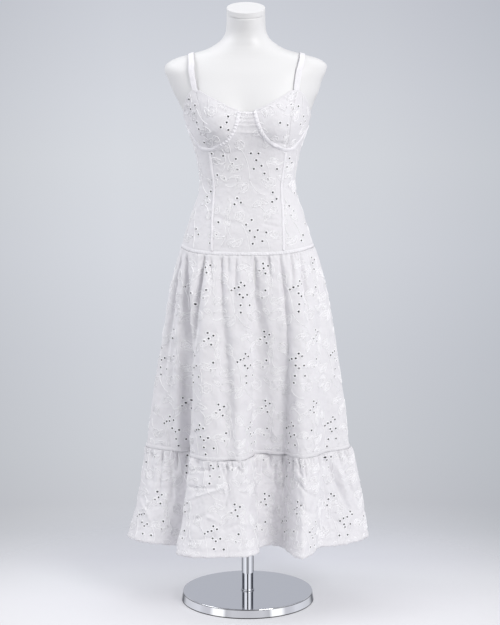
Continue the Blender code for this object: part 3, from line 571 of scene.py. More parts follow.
upperCreases = {
    "unit": (0.71, 0.44),       # metres of cloth to a half of the tier, at its lower and upper seam
    "shirr": (0.0105, 0.0013, 0.017, 0.0009),   # puckers' spacing, height and reach, and their swell
    "crumpleSize": 0.052, "crumple": 0.0052, "fineSize": 0.020, "fine": 0.0017,
    # each crease from its top down, in thousandths: height, place, width, depth
    "lines": (
        ((868, 150, 4, 0), (855, 150, 5, -9.6), (803, 178, 7, -16), (756, 192, 9, -17.6),
         (685, 208, 11, -17.6), (616, 228, 8, -15), (545, 238, 7, -14), (463, 228, 7, -11),
         (412, 212, 7, 0)),
        ((873.5, 280, 3, 0), (862, 278, 4, -9.6), (806, 274, 6, -14.4), (761, 266, 7, -12.8),
         (691, 259, 8, -9.6), (618, 249, 8, -3.2), (580, 245, 8, 0)),
        ((873.5, 374, 3, 0), (860, 374, 4, -8), (810, 379, 7, -11.2), (764, 379, 9, -11.8),
         (694, 384, 14, -13), (625, 386, 18, -14.5), (555, 386, 21, -15.5), (483, 374, 22, -14),
         (420, 360, 20, -4)),
        ((873.5, 445, 3, 0), (861, 445, 3, -4.8), (810, 445, 6, -8), (766, 438, 7, -4.8), (695, 415, 8, 0)),
        ((873.5, 532, 3, 0), (859, 532, 4, -11.2), (811, 529, 6, -16), (763, 530, 8, -12),
         (692, 540, 12, -8), (618, 543, 16, -5), (544, 543, 18, -4.8), (468, 540, 18, 0)),
        ((873.5, 655, 3, 0), (859, 655, 3, -6.4), (809, 655, 6, -12.8), (763, 651, 8, -12.5),
         (692, 647, 11, -11), (619, 638, 13, -10), (545, 628, 15, -9.5), (469, 616, 16, -7),
         (417, 604, 16, -2)),
        ((873.5, 782, 3, 0), (860, 782, 4, -9.6), (805, 768, 6, -12.8), (760, 763, 7, -8), (688, 766, 9, 0)),
        ((862, 75, 4, 0), (840, 80, 5, -8), (798, 83, 7, -11.2), (750, 76, 9, -12.8), (674, 60, 11, -9.6),
         (601, 50, 12, -4.8), (500, 45, 12, 0)),
        ((866, 930, 4, 0), (850, 930, 5, -6.4), (800, 902, 8, -8), (700, 860, 12, -4.8), (620, 850, 12, 0)),
        ((873.5, 315, 3, 0), (862, 320, 3, -4.8), (820, 330, 4, -4.8), (790, 334, 5, 0)),
        ((873.5, 405, 3, 0), (862, 410, 3, -4.8), (820, 412, 4, -3.2), (790, 412, 5, 0)),
        ((873.5, 598, 3, 0), (862, 598, 3, -6.4), (820, 594, 5, -6.4), (770, 586, 7, 0)),
        ((873.5, 716, 3, 0), (862, 716, 3, -6.4), (810, 702, 5, -4.8), (760, 690, 6, 0)),
        ((873.5, 845, 3, 0), (860, 845, 4, -6.4), (820, 838, 5, -4.8), (780, 832, 6, 0)),
        ((830, 235, 6, 0), (780, 230, 10, 4.8), (700, 228, 10, 3.2), (640, 230, 10, 0)),
        ((862, 310, 6, 0), (800, 310, 11, 6.4), (700, 300, 14, 7), (600, 294, 13, 8.5), (520, 290, 13, 9),
         (440, 284, 14, 7), (400, 280, 14, 3)),
        ((860, 475, 6, 0), (800, 478, 14, 6.4), (700, 478, 20, 6.4), (560, 470, 24, 4.8), (420, 460, 24, 0)),
        ((860, 592, 10, 0), (780, 588, 14, 6), (690, 576, 15, 8), (600, 570, 19, 9.5), (500, 572, 28, 13),
         (400, 584, 34, 16)),
        ((860, 735, 6, 0), (790, 722, 14, 8), (680, 715, 20, 8), (540, 700, 22, 4.8), (430, 690, 22, 0)),
        ((820, 215, 8, 0), (760, 212, 10, -8), (665, 210, 12, -15), (594, 208, 13, -19),
         (520, 204, 14, -21), (440, 196, 15, -19), (400, 188, 16, -11)),
        ((780, 150, 10, 0), (700, 150, 14, 9), (600, 147, 18, 13), (500, 140, 19, 14), (430, 134, 20, 10),
         (400, 130, 20, 6)),
        # the hidden side
        ((873.5, 1090, 3, 0), (858, 1092, 4, -9.6), (800, 1105, 7, -14.4), (700, 1120, 10, -11.2),
         (600, 1130, 13, 0)),
        ((873.5, 1190, 3, 0), (860, 1190, 4, -8), (815, 1196, 6, -9.6), (740, 1205, 8, 0)),
        ((873.5, 1285, 3, 0), (858, 1285, 4, -11.2), (790, 1292, 8, -16), (680, 1300, 12, -14.4),
         (540, 1305, 14, -8), (430, 1300, 14, 0)),
        ((873.5, 1365, 3, 0), (860, 1366, 3, -6.4), (820, 1370, 5, -6.4), (760, 1372, 6, 0)),
        ((873.5, 1450, 3, 0), (858, 1450, 4, -9.6), (800, 1452, 7, -12.8), (690, 1462, 12, -11.2),
         (560, 1470, 16, 0)),
        ((873.5, 1560, 3, 0), (860, 1560, 4, -9.6), (790, 1555, 8, -14.4), (670, 1545, 13, -12.8),
         (520, 1540, 16, 0)),
        ((873.5, 1640, 3, 0), (861, 1640, 3, -6.4), (815, 1636, 5, -6.4), (750, 1630, 7, 0)),
        ((873.5, 1720, 3, 0), (858, 1720, 4, -11.2), (800, 1712, 7, -16), (700, 1700, 11, -14.4),
         (580, 1695, 14, -8), (460, 1700, 14, 0)),
        ((873.5, 1815, 3, 0), (860, 1812, 4, -8), (810, 1805, 6, -9.6), (720, 1795, 9, 0)),
        ((873.5, 1905, 3, 0), (858, 1903, 4, -9.6), (795, 1893, 8, -12.8), (690, 1880, 12, 0)),
    ),
    "troughs": (),
}
flounceCreases = {
    "unit": (1.00, 0.75),
    "shirr": (0.0120, 0.0016, 0.020, 0.0009),
    "crumpleSize": 0.040, "crumple": 0.0056, "fineSize": 0.018, "fine": 0.0024,
    # the short gathers under the seam, in thousandths: place, length, drift, depth
    "gathers": (
        (30, 30, 4, 4), (62, 45, 5, 5), (88, 22, 0, 3.5), (118, 50, 8, 6), (150, 30, 6, 5), (182, 60, 10, 6),
        (232, 30, 6, 4), (262, 22, 4, 4), (292, 40, 6, 5), (318, 24, 6, 3.5), (352, 34, 8, 5),
        (372, 20, 6, 4), (410, 28, 8, 4), (440, 36, 6, 5), (478, 50, 4, 5), (520, 60, -2, 6),
        (556, 44, 0, 5), (590, 56, -2, 6), (622, 40, -4, 6), (655, 50, -4, 5), (690, 30, 2, 4.5),
        (722, 46, 6, 5.5), (760, 24, 4, 4), (795, 60, 6, 6), (832, 30, 4, 4.5), (890, 40, 8, 4.5),
        (925, 28, 6, 4), (960, 44, 4, 4.5), (1035, 40, 4, 5), (1075, 26, 4, 4), (1120, 52, 8, 6),
        (1160, 30, 6, 4.5), (1205, 44, 4, 5.5), (1240, 24, 2, 4), (1290, 56, -4, 6), (1335, 32, 4, 4.5),
        (1375, 46, 6, 5.5), (1415, 26, 2, 4), (1455, 50, -4, 6), (1530, 54, 2, 6), (1575, 30, 4, 4.5),
        (1620, 48, 6, 5.5), (1668, 26, 2, 4), (1712, 52, -4, 6), (1790, 34, 4, 4.5), (1835, 48, 6, 5.5),
        (1880, 28, 2, 4), (1925, 44, -4, 5), (1968, 30, -2, 4),
    ),
    # in thousandths: place, height to place, height, width, depth
    "troughs": (
        (334, 376, 353, 344, 4, -5.5), (353, 344, 367, 321, 4, -4.5), (388, 372, 426, 350, 4, -6.5),
        (426, 350, 459, 335, 4, -4.5), (200, 309, 281, 318, 3.5, -4.5), (281, 318, 318, 323, 3, -3.5),
        (252, 287, 286, 303, 3.5, 3.5), (286, 303, 335, 320, 3.5, 4.5), (335, 320, 365, 336, 3.5, 3.5),
        (247, 353, 310, 365, 3.5, -4), (345, 326, 362, 301, 3.5, 3.5), (362, 301, 360, 275, 3.5, -3.5),
        (407, 309, 466, 296, 3.5, -3.5), (855, 362, 870, 316, 5.5, -8), (870, 316, 901, 270, 5.5, -8.5),
        (901, 270, 929, 229, 4.5, -5.5), (880, 349, 901, 301, 5.5, 4.5), (901, 301, 920, 272, 5.5, 3.5),
        (676, 332, 722, 310, 4, -5.5), (722, 310, 790, 285, 4, -4.5), (676, 359, 709, 343, 3.5, -3.5),
        (746, 349, 768, 318, 3.5, -4.5), (542, 374, 536, 334, 4.5, -5.5), (571, 370, 567, 316, 4.5, -6.5),
        (567, 316, 576, 291, 4.5, -4.5), (534, 242, 572, 232, 3.5, -3), (533, 208, 573, 200, 3.5, -3),
        (268, 241, 306, 258, 4, -3.5), (306, 258, 352, 239, 4, 3), (362, 223, 402, 241, 4, -4),
        (402, 241, 442, 227, 4, 3), (292, 198, 339, 209, 3.5, -3), (31, 351, 49, 309, 4.5, -3.5),
        (69, 336, 84, 264, 5.5, -6), (19, 254, 77, 215, 5, 4), (97, 363, 127, 266, 6.5, -5.5),
        (701, 278, 769, 250, 4, -4.5), (769, 250, 843, 199, 4, 3.5), (835, 319, 850, 269, 5, -4.5),
        (907, 336, 955, 257, 5, -4.5), (878, 219, 923, 190, 4, -3), (596, 400, 598, 130, 34, 16.5),
        (1060, 366, 1078, 310, 5.5, -7), (1078, 310, 1112, 262, 5, -5.5), (1150, 330, 1205, 305, 4, -5),
        (1190, 272, 1250, 245, 4, 3.5), (1262, 370, 1270, 318, 4.5, -6.5), (1320, 352, 1345, 300, 5, -5.5),
        (1380, 288, 1440, 306, 4, -4.5), (1430, 232, 1492, 248, 4, 3.5), (1505, 372, 1498, 322, 4.5, -6.5),
        (1560, 340, 1600, 300, 4.5, -5.5), (1600, 300, 1655, 262, 4.5, -5),
        (1650, 350, 1690, 330, 3.5, -4.5), (1700, 222, 1760, 240, 4, -3.5), (1758, 368, 1772, 310, 5, -6.5),
        (1840, 330, 1872, 280, 5.5, -6), (1872, 280, 1905, 238, 5, -5), (1945, 352, 1958, 300, 5, -4.5),
    ),
}


def thousandths(rows):
    # the rows divided by a thousand
    return np.array(rows) / 1000


def gatherLines(rows):
    # each gather as a crease: shut at the seam, deepest at 0.45 of its length, gone at 1.2 of it
    return [((0.3832, place, 0.0024, 0), (0.3790, place, 0.0026, -0.9 * depth),
             (0.3830 - 0.45 * length, place + 0.5 * drift, 0.0038, -1.3 * depth),
             (0.3830 - 1.2 * length, place + drift, 0.0060, 0))
            for place, length, drift, depth in thousandths(rows)]


bodiceCreases["troughs"] = thousandths(bodiceCreases["troughs"])
upperCreases["lines"] = [thousandths(line) for line in upperCreases["lines"]]
flounceCreases["lines"] = gatherLines(flounceCreases["gathers"])
flounceCreases["troughs"] = thousandths(flounceCreases["troughs"])


def creaseField(made, across, height, low, high):
    # for each crease depth exp(-(metres from its middle / width)^2), read by height; then troughs
    metres = np.interp(height, (low, high), made["unit"])
    total = np.zeros(np.broadcast(across, height).shape)
    for line in made["lines"]:
        nodes = np.array(line)[::-1]
        middle, width, depth = (np.interp(height, nodes[:, 0], nodes[:, part]) for part in (1, 2, 3))
        total = total + depth * bell((across - middle) * metres, width)
    return total + troughs(made["troughs"], across, height, metres, True)


def crumpled(made, x, height, seeds):
    # crumple of two sizes, each from its own seed
    return (made["crumple"] * crumple(x, height, made["crumpleSize"], seeds[0])
            + made["fine"] * crumple(x, height, made["fineSize"], seeds[1]))


def bodiceRelief(angle, height):
    # the listed troughs and the gore's drag ridges over a faint crumple; flat at the waist seam
    made = bodiceCreases
    x = angle * made["degree"]
    free = smoothStep(0, 0.012, height - seams["waist"]) * smoothStep(180, 170, np.abs(angle))
    relief = crumpled(made, x, height, (3, 5)) + troughs(made["troughs"], x, height)
    for ridge in made["goreRidges"]:
        rise = bell(height - ridge - 0.10 * np.abs(x), made["goreWidth"])
        relief = relief + made["goreHeight"] * rise * np.exp(-(x / made["goreReach"]) ** 4)
    return relief * free


def tierRelief(made, place, height, seed, top, low):
    # crumple, flat at the side seams and at the seams above and below, then creases and puckers
    free = smoothStep(0, 0.03, np.abs(place - np.round(place))) * smoothStep(0, 0.03, top - height)
    relief = crumpled(made, place * made["unit"][0], height, (seed, seed + 1))
    relief = relief * free * smoothStep(-0.004, 0.02, height - low)
    relief = relief + creaseField(made, place, height, low, top) * smoothStep(0, 0.005, top - height)
    spacing, high, reach, swell = made["shirr"]
    turn = 2 * math.pi * place * made["unit"][1] / spacing
    pucker = np.sin(turn + 1.9 * np.sin(turn / 5.3) + 1.2 * np.sin(turn / 11.7 + 2))
    uneven = 0.6 + 0.4 * np.sin(turn / 3.1 + 1)
    below = top - height
    return relief + high * pucker * uneven * bell(below, reach * uneven) + swell * bell(below, 0.004)


def upperRelief(place, height):
    # the upper tier's relief between its two seams
    return tierRelief(upperCreases, place, height, 11, seams["waist"], seams["tier"])


def flounceRelief(place, height):
    # the flounce's relief from its seam to past its hem
    return tierRelief(flounceCreases, place, height, 21, seams["tier"], seams["hem"] - 0.04)


def noRelief(across, height):
    # nothing everywhere
    return np.zeros(np.broadcast(across, height).shape)


# how far the waist seam hangs below its level, at each angle
waistSag = {
    "angles": (-90, -78, -65, -50, -35, -10, 10, 24, 37, 52, 65, 78, 90, 110),
    "drops": (0, 0.0003, 0.0035, 0.0066, 0.0077, 0.0085, 0.0088, 0.0080, 0.0058, 0.0026, 0.0002, -0.0012,
              -0.0010, 0),
    "reach": 0.045,
}


def sagAt(angle, height):
    # the seam's drop times exp(-(distance from the seam / reach)^2)
    drop = np.interp((angle + 180) % 360 - 180, waistSag["angles"], waistSag["drops"])
    return drop * bell(height - seams["waist"], waistSag["reach"])


def saggedBodice(angle, height):
    # the bodice's surface, read lower by the sag
    return bodiceSurface(angle, height - sagAt(angle, height))


def saggedUpper(place, height):
    # the tier's surface, moved as the bodice's end is
    angle = 180 * (place - 0.5)
    ends = [bodiceSurface(angle, seams["waist"] - drop) for drop in (sagAt(angle, height), 0 * height)]
    return upperSurface(place, height) + ends[0] - ends[1]


bodiceCloth = {"surface": saggedBodice, "relief": bodiceRelief}
upperCloth = {"surface": saggedUpper, "relief": upperRelief}
flounceCloth = {"surface": flounceSurface, "relief": flounceRelief}
strapCloth = {"surface": figureSurface, "relief": noRelief}


def laid(cloth, across, height, lift=0.0):
    # the points that lie this far over a cloth's middle, and its normals there
    across, height = np.broadcast_arrays(np.asarray(across, float), np.asarray(height, float))
    normal = surfaceNormals(cloth["surface"], across, height)
    out = cloth["relief"](across, height) + lift
    return cloth["surface"](across, height) + normal * out[..., None], normal


def edgeDistances(points):
    # along the grid's lines, how far each point is from its left, right, lower and upper edge
    found = []
    for axis in (1, 0):
        steps = np.linalg.norm(np.diff(points, axis=axis), axis=-1)
        start = np.zeros_like(np.take(steps, [0], axis=axis))
        run = np.concatenate([start, np.cumsum(steps, axis=axis)], axis=axis)
        found += [run, np.take(run, [-1], axis=axis) - run]
    return found


def trimmed(points):
    # the grid with its edges drawn in by half a seam's gap
    points = points.copy()
    for axis, end, inner in ((0, 0, 1), (0, -1, -2), (1, 0, 1), (1, -1, -2)):
        view = np.moveaxis(points, axis, 0)
        view[end] += unit(view[inner] - view[end]) * cotton["seamGap"] / 2
    return points


def addPanel(name, cloth, across, height, material, sunk=(0, 1, 2, 3), turned=None):
    # a cut piece: the cloth's own grid, the named edges sunk into their seams, a turned edge thicker
    middle, normal = laid(cloth, across, height)
    edges = edgeDistances(middle)
    sink = sum(bell(edges[edge], cotton["seamSinkWidth"]) for edge in sunk)
    crown = 0.0
    if turned:
        pucker = 0.5 + crumple(edges[0], height, turned["puckerSize"], 8)
        edge = edges[turned["edge"]]
        crown = smoothStep(turned["depth"] + 0.0012, turned["depth"] - 0.0012, edge)
        crown = crown * (turned["fold"] + turned["pucker"] * pucker)
    middle = middle - normal * (cotton["seamSink"] * np.clip(sink, 0, 1))[..., None]
    middle = trimmed(middle)
    cuts[name] = gridArea(middle)
    return addWall(name + "_cloth", middle, normal, cotton["thickness"], material, (name,),
                   crown=crown)


cuts = {}                       # each cut piece's area, in square metres


# Bodice

facing = {"edge": 3, "depth": 0.0048, "fold": 0.0006, "pucker": 0.0005, "puckerSize": 0.012}
wire = {
    "columns": ("row", "angle", "height"),
    "rows": ((0, 6.6, 1.2010), (1, 10.8, 1.1680), (2, 18.3, 1.1400), (3, 30.6, 1.1215), (4, 45.0, 1.1115),
             (5, 56.0, 1.1125), (6, 66.0, 1.1290), (7, 77.0, 1.1500), (8, 90.0, 1.1630)),
    "princessRow": 4,           # where the cup seam and the princess seam meet the wire
    "lastRow": 8,
}
neckline = {
    "columns": ("angle", "height"),
    "rows": ((6.6, 1.2050), (14.5, 1.2130), (22.5, 1.2255), (31.0, 1.2385), (37.5, 1.2490), (41.6, 1.2500)),
}
armhole = {
    "columns": ("angle", "height"),
    "rows": ((41.6, 1.2500), (43.8, 1.2490), (60.0, 1.2225), (72.0, 1.2010), (80.0, 1.1910), (90.0, 1.1840)),
}
princess = {
    "columns": ("angle", "height"),
    "rows": ((31.5, 0.8740), (36.0, 0.9300), (41.0, 0.9800), (44.0, 1.0250), (45.5, 1.0600), (45.0, 1.1115)),
}
backTop = {
    "columns": ("angle", "height"),
    "rows": ((90.0, 1.1840), (110.0, 1.1760), (140.0, 1.1700), (180.0, 1.1670)),
}
bodiceGrid = {
    "frontRows": 104, "goreRows": 48, "frontColumns": 58, "sideRows": 96, "sideColumns": 34,
    "cupRows": 46, "cupColumns": 38, "backRows": 100, "backColumns": 60,
}
sideSigns = (("left", -1), ("right", 1))


def wireLine(row):
    # the wire's angle and height at any row of its table
    return [readTable(wire, name, "row", row) for name in ("angle", "height")]


def edgeHeight(table, angle):
    # a top edge's height at any angle
    return readTable(table, "height", "angle", angle)


def princessAngle(height):
    # the princess seam's angle at any height
    return readTable(princess, "angle", "height", height)


def aboveWaist(share, top):
    # the height this share of the way from the waist seam to the top
    return seams["waist"] + share * (top - seams["waist"])


def buildBodice(material):
    # the panels' grids follow the wire, the princess seams and the top edges
    grid = bodiceGrid
    meeting = wireLine(float(wire["princessRow"]))[1]
    low = aboveWaist(np.linspace(0, 1, grid["frontRows"])[:, None], meeting)
    goreHalf, goreHeight = wireLine(np.linspace(wire["princessRow"], 0, grid["goreRows"])[1:, None])
    half = np.concatenate([princessAngle(low), goreHalf])
    height = np.concatenate([low, goreHeight])
    share = np.linspace(-1, 1, grid["frontColumns"])[None, :]
    addPanel("centre_front", bodiceCloth, half * share, height + 0 * share, material)
    for side, sign in sideSigns:
        angle, top = wireLine(np.linspace(wire["princessRow"], wire["lastRow"], grid["sideColumns"]))
        height = aboveWaist(np.linspace(0, 1, grid["sideRows"])[:, None], top)
        inner = princessAngle(height[:, :1])
        outer = (angle - angle[0]) / (angle[-1] - angle[0])
        addPanel("side_front_" + side, bodiceCloth, sign * (inner + (90 - inner) * outer), height, material)
        share = np.linspace(0, 1, grid["cupRows"])[:, None]
        parts = (("inner_cup_", 0, wire["princessRow"], neckline),
                 ("outer_cup_", wire["princessRow"], wire["lastRow"], armhole))
        for label, first, last, table in parts:
            angle, low = wireLine(np.linspace(first, last, grid["cupColumns"]))
            topAngle = np.linspace(table["rows"][0][0], table["rows"][-1][0], grid["cupColumns"])
            top = edgeHeight(table, topAngle)
            across = angle + (topAngle - angle) * share
            addPanel(label + side, bodiceCloth, sign * across, low + (top - low) * share, material,
                     (0, 1, 2), facing)
        angle = np.linspace(90, 180, grid["backColumns"])[None, :]
        height = aboveWaist(np.linspace(0, 1, grid["backRows"])[:, None], edgeHeight(backTop, angle))
        addPanel("back_" + side, bodiceCloth, sign * angle, height, material, (0, 1, 2), facing)


# Strips sewn over the bodice's seams

channel = {
    "width": 0.0095, "rows": 300, "columns": 11, "crown": 0.0009,
    "pucker": {"left": 0.0024, "right": 0.0022},
    "ruffle": 0.0076,           # from one pucker to the next
    "ruchedTo": {"left": 0.105, "right": 0.070},   # how far round from the middle it is ruched
    "rope": {"left": 0.15, "right": 0.75},         # how slanted its puckers are
}
casing = {"width": 0.006, "rows": 130, "columns": 9, "crown": 0.0012, "span": (0.037, 0.975)}
stripLift = cotton["thickness"] / 2 + cotton["stripGap"] + cotton["stripThickness"] / 2
waistBand = {"height": 0.008, "columns": 900, "rows": 13, "rise": 0.0004, "crown": 0.0003,
             "pucker": 0.0008, "ruffle": 0.0062}
tierBand = {**waistBand, "height": 0.009, "columns": 1100, "ruffle": 0.0082}
strap = {
    "width": 0.0125, "thickness": 0.0016, "gap": 0.0006, "rows": 60, "columns": 11, "pillow": 0.0004,
    "frontX": 0.1155, "frontHeight": 1.2495, "topX": 0.1310, "backX": 0.0780, "backHeight": 1.1702,
    "lift": 0.004,              # a taut strap bridges the hollow below the shoulder
    "lap": 0.0035,              # sewn down over the cup's point and the back's edge
    "lapLift": 0.0002, "lapThinner": 0.0011,
    "shoulderHeights": (1.303, 1.356),
}


def beside(surface, across, height, distance):
    # a curve moved sideways within its surface by the slopes' own metric
    byAcross, byHeight = slopes(surface, across, height)
    along = np.gradient(surface(across, height), axis=0)
    sideways = unit(np.cross(surfaceNormals(surface, across, height), along)) * distance
    aa, hh, ah = ((one * other).sum(-1) for one, other in
                  ((byAcross, byAcross), (byHeight, byHeight), (byAcross, byHeight)))
    wantedA, wantedH = (byAcross * sideways).sum(-1), (byHeight * sideways).sum(-1)
    scale = aa * hh - ah * ah
    return (across + (wantedA * hh - wantedH * ah) / scale,
            height + (wantedH * aa - wantedA * ah) / scale)


def pathLength(points):
    # the sum of the steps up to each point
    return np.append(0, np.cumsum(np.linalg.norm(np.diff(points, axis=0), axis=-1)))


def addStrip(name, across, height, made, rise, material):
    # a ribbon along a curve on the bodice; rise(metres along, share across) lifts its outer side
    shares = np.linspace(-0.5, 0.5, made["columns"])
    sides = [beside(saggedBodice, across, height, made["width"] * share) for share in shares]
    gridAcross, gridHeight = (np.stack([side[part] for side in sides], axis=1) for part in (0, 1))
    middle, normal = laid(bodiceCloth, gridAcross, gridHeight, stripLift)
    run = pathLength(saggedBodice(across, height))[:, None]
    return addWall(name + "_cloth", middle, normal, cotton["stripThickness"], material, (name,),
                   crown=rise(run, shares[None, :]))


def buildStrips(material):
    # the channel over each wire, and the casing over each princess seam
    for side, sign in sideSigns:
        angle, height = wireLine(np.linspace(0, wire["lastRow"], channel["rows"]))

        def channelRise(run, share):
            # a round piping, with slanted puckers near the middle of the front
            domed = np.clip(np.cos(math.pi * share), 0, 1) ** 0.7
            ruched = smoothStep(channel["ruchedTo"][side] + 0.02, channel["ruchedTo"][side] - 0.02, run)
            turn = 2 * math.pi * (run / channel["ruffle"] + channel["rope"][side] * share)
            turn = turn + 0.8 * np.sin(run * 190)
            pucker = channel["pucker"][side] * (0.5 + 0.5 * np.sin(turn))
            return domed * (cotton["stripRise"] + channel["crown"] + ruched * pucker)

        addStrip("wire_channel_" + side, sign * angle, height, channel, channelRise, material)
        meeting = wireLine(float(wire["princessRow"]))[1]
        height = aboveWaist(np.linspace(*casing["span"], casing["rows"]), meeting)

        def casingRise(run, share):
            # a low dome, cos(pi share)^0.5
            return (cotton["stripRise"] + casing["crown"]) * np.clip(np.cos(math.pi * share), 0, 1) ** 0.5

        addStrip("front_casing_" + side, sign * princessAngle(height), height, casing, casingRise, material)


def addBand(name, cloth, ends, made, seam, length, material):
    # a ribbon once round: two soft ridges at its edges and puckers between its stitch lines
    across = np.linspace(*ends, made["columns"], endpoint=False)
    share = np.linspace(0, 1, made["rows"])[:, None]
    middle, normal = laid(cloth, across[None, :], seam + share * made["height"], stripLift)
    count = round(length / made["ruffle"])
    turn = 2 * math.pi * count * np.linspace(0, 1, len(across), endpoint=False)[None, :]
    puckers = 0.5 + 0.5 * np.sin(turn + 1.3 * np.sin(turn / 7) + 0.6 * np.sin(turn * 3 / 11 + 1))
    shoulders = smoothStep(0, 0.34, share) * smoothStep(1, 0.78, share)
    between = smoothStep(0.16, 0.34, share) * smoothStep(0.84, 0.66, share)
    edging = bell(share - 0.14, 0.09) + bell(share - 0.86, 0.09)
    crown = shoulders * (made["rise"] + made["crown"] * edging + made["pucker"] * puckers * between)
    return addWall(name + "_cloth", middle, normal, cotton["stripThickness"], material, (name,),
                   ring=True, crown=crown)


def shoulderHeight(distance):
    # the height at which the shoulder's ridge is this far from the middle
    heights = np.linspace(*strap["shoulderHeights"], 400)
    return np.interp(-distance, -figureColumn("halfWidth", heights), heights)


def buildStraps(material):
    # from the cup's point over the shoulder to the back: both halves are read by a turn from 0 to 1
    across = strap["width"] * np.linspace(-0.5, 0.5, strap["columns"])[None, :]
    turn = np.linspace(0, 1, strap["rows"])[:, None]
    climbed = np.sin(turn * math.pi / 2)
    top = shoulderHeight(strap["topX"] + across)
    halves = []
    for endX, endHeight in ((strap["frontX"], strap["frontHeight"] - strap["lap"]),
                            (strap["backX"], strap["backHeight"] - strap["lap"])):
        height = endHeight + (top - endHeight) * climbed
        x = endX + across + (strap["topX"] - endX) * climbed
        halves.append((np.degrees(np.arcsin(np.clip(x / figureColumn("halfWidth", height), -1, 1))), height))
    angle = np.concatenate([halves[0][0], 180 - halves[1][0][-2::-1]])
    height = np.concatenate([halves[0][1], halves[1][1][-2::-1]])
    run = np.concatenate([turn, turn[-2::-1]]) + 0 * angle
    lift = strap["gap"] + strap["thickness"] / 2 + figure["ease"] * (1 - run) ** 2
    end = smoothStep(0.12, 0.0, run)
    lift = lift + strap["lapLift"] * end
    lift = lift + strap["lift"] * np.sin(math.pi * run) ** 2
    crown = strap["pillow"] * np.cos(math.pi * np.linspace(-0.5, 0.5, strap["columns"])) ** 0.5
    crown = crown - strap["lapThinner"] * end
    for side, sign in sideSigns:
        middle, normal = laid(strapCloth, sign * angle, height, lift)
        addWall("strap_" + side + "_cloth", middle, normal, strap["thickness"], material,
                ("strap_" + side,), crown=crown)


# Skirt

hem = {"edge": 2, "depth": 0.009, "fold": 0.0005, "pucker": 0.0016, "puckerSize": 0.014, "ragged": 0.0016}


def hemHeight(place):
    # a slow waver, and an uneven puckered edge
    waver = seams["hemWaver"] * np.sin(2 * math.pi * seams["hemWaves"] * place + 0.6)
    ragged = np.sin(place * 163) + np.sin(place * 287 + 2 * np.sin(place * 31)) + np.sin(place * 431 + 1)
    return seams["hem"] + waver + hem["ragged"] / 3 * ragged


def buildSkirt(material):
    # both tiers in halves; the flounce's rows lie closer towards its hem
    for label, first in (("front", 0), ("back", 1)):
        for name, cloth, columns, rows, high, power, turned in (
                ("upper_tier_", upperCloth, 300, 130, "waist", 1.0, {}),
                ("flounce_", flounceCloth, 440, 76, "tier", 0.9, hem)):
            place = first + np.linspace(0, 1, columns)[None, :]
            share = np.linspace(0, 1, rows)[:, None] ** power
            low = hemHeight(place) if turned else seams["tier"] + 0 * place
            height = low + (seams[high] - seams["gap"] - low) * share
            sunk = (0, 1) if turned else (0, 1, 2)
            addPanel(name + label, cloth, place + 0 * share, height, material, sunk, turned)


# Dress form and stand

form = {
    "columns": 160, "rows": 150, "bottom": 0.760, "top": 1.4275,
    "capHeight": 0.013, "capEdge": 0.0012, "capGap": 0.0003, "capSides": 128,
    "groove": 0.0006,           # how deep and, below, how high the line under the cap is cut
    "grooveHeight": 0.0012,
    "inset": 0.01,              # how far the first and last rings are drawn in
}
stand = {
    "baseRadius": 0.163, "baseTopRadius": 0.1595, "baseHeight": 0.022, "edge": 0.0015, "baseSides": 192,
    "poleRadius": 0.0147, "poleEdge": 0.0004, "collarRadius": 0.0166, "collarHeight": 0.003,
    "collarEdge": 0.0007, "gap": 0.0003, "poleSides": 96,
}


def buildForm(material):
    # the figure's levels, spaced by the length of its side outline, and closed by flat ends
    fine = np.linspace(form["bottom"], form["top"], 3000)
    outline = np.stack([figureColumn("halfWidth", fine), fine], axis=-1)
    run = pathLength(outline)
    heights = np.interp(np.linspace(0, run[-1], form["rows"]), run, fine)
    angle = np.linspace(-180, 180, form["columns"], endpoint=False)
    rings = figureSurface(angle[None, :], heights[:, None])
    rings[[0, -1]] += (rings[[0, -1]].mean(axis=1, keepdims=True) - rings[[0, -1]]) * form["inset"]
    ends = rings[[0, -1]].mean(axis=1)
    count = form["rows"] * form["columns"]
    faces = capped(np.arange(count).reshape(rings.shape[:2]), count, count + 1)
    addPiece("form_torso_skin", np.concatenate([rings.reshape(-1, 3), ends]), faces, material,
             ("form_torso",))
    tilt, back, front, sideways, radius = (
        figureColumn(name, form["top"]) for name in ("tilt", "back", "front", "lean", "halfWidth"))
    lean, height = math.atan(tilt), form["capHeight"]
    place = np.array([sideways, (back - front) / 2, form["top"]])
    place = place + np.array([0, -math.sin(lean), math.cos(lean)]) * form["capGap"]
    profile = [(0, 0), (radius - form["groove"], 0), (radius, form["grooveHeight"]), (radius, height),
               (0, height)]
    addTurned("neck_cap_top", softened(profile, form["capEdge"]), form["capSides"], material,
              ("neck_cap",), place, lean)


def buildStand(material):
    # a disc with a rounded rim, a tube, and a collar at its foot
    made = stand
    foot = made["baseHeight"] + made["gap"]
    base = [(0, 0), (made["baseRadius"], 0), (made["baseTopRadius"], made["baseHeight"]),
            (0, made["baseHeight"])]
    addTurned("base_disc_chrome", softened(base, made["edge"]), made["baseSides"], material,
              ("base_disc",))
    pole = [(0, foot), (made["poleRadius"], foot), (made["poleRadius"], form["bottom"] - made["gap"]),
            (0, form["bottom"] - made["gap"])]
    addTurned("pole_chrome", softened(pole, made["poleEdge"]), made["poleSides"], material,
              ("pole",))
    inner = made["poleRadius"] + made["gap"]
    ringTop = foot + made["collarHeight"]
    ring = [(inner, foot), (made["collarRadius"], foot), (made["collarRadius"], ringTop), (inner, ringTop)]
    addTurned("pole_collar_chrome", softened(ring, made["collarEdge"], closed=True), made["poleSides"],
              material, ("pole_collar",))


# Materials

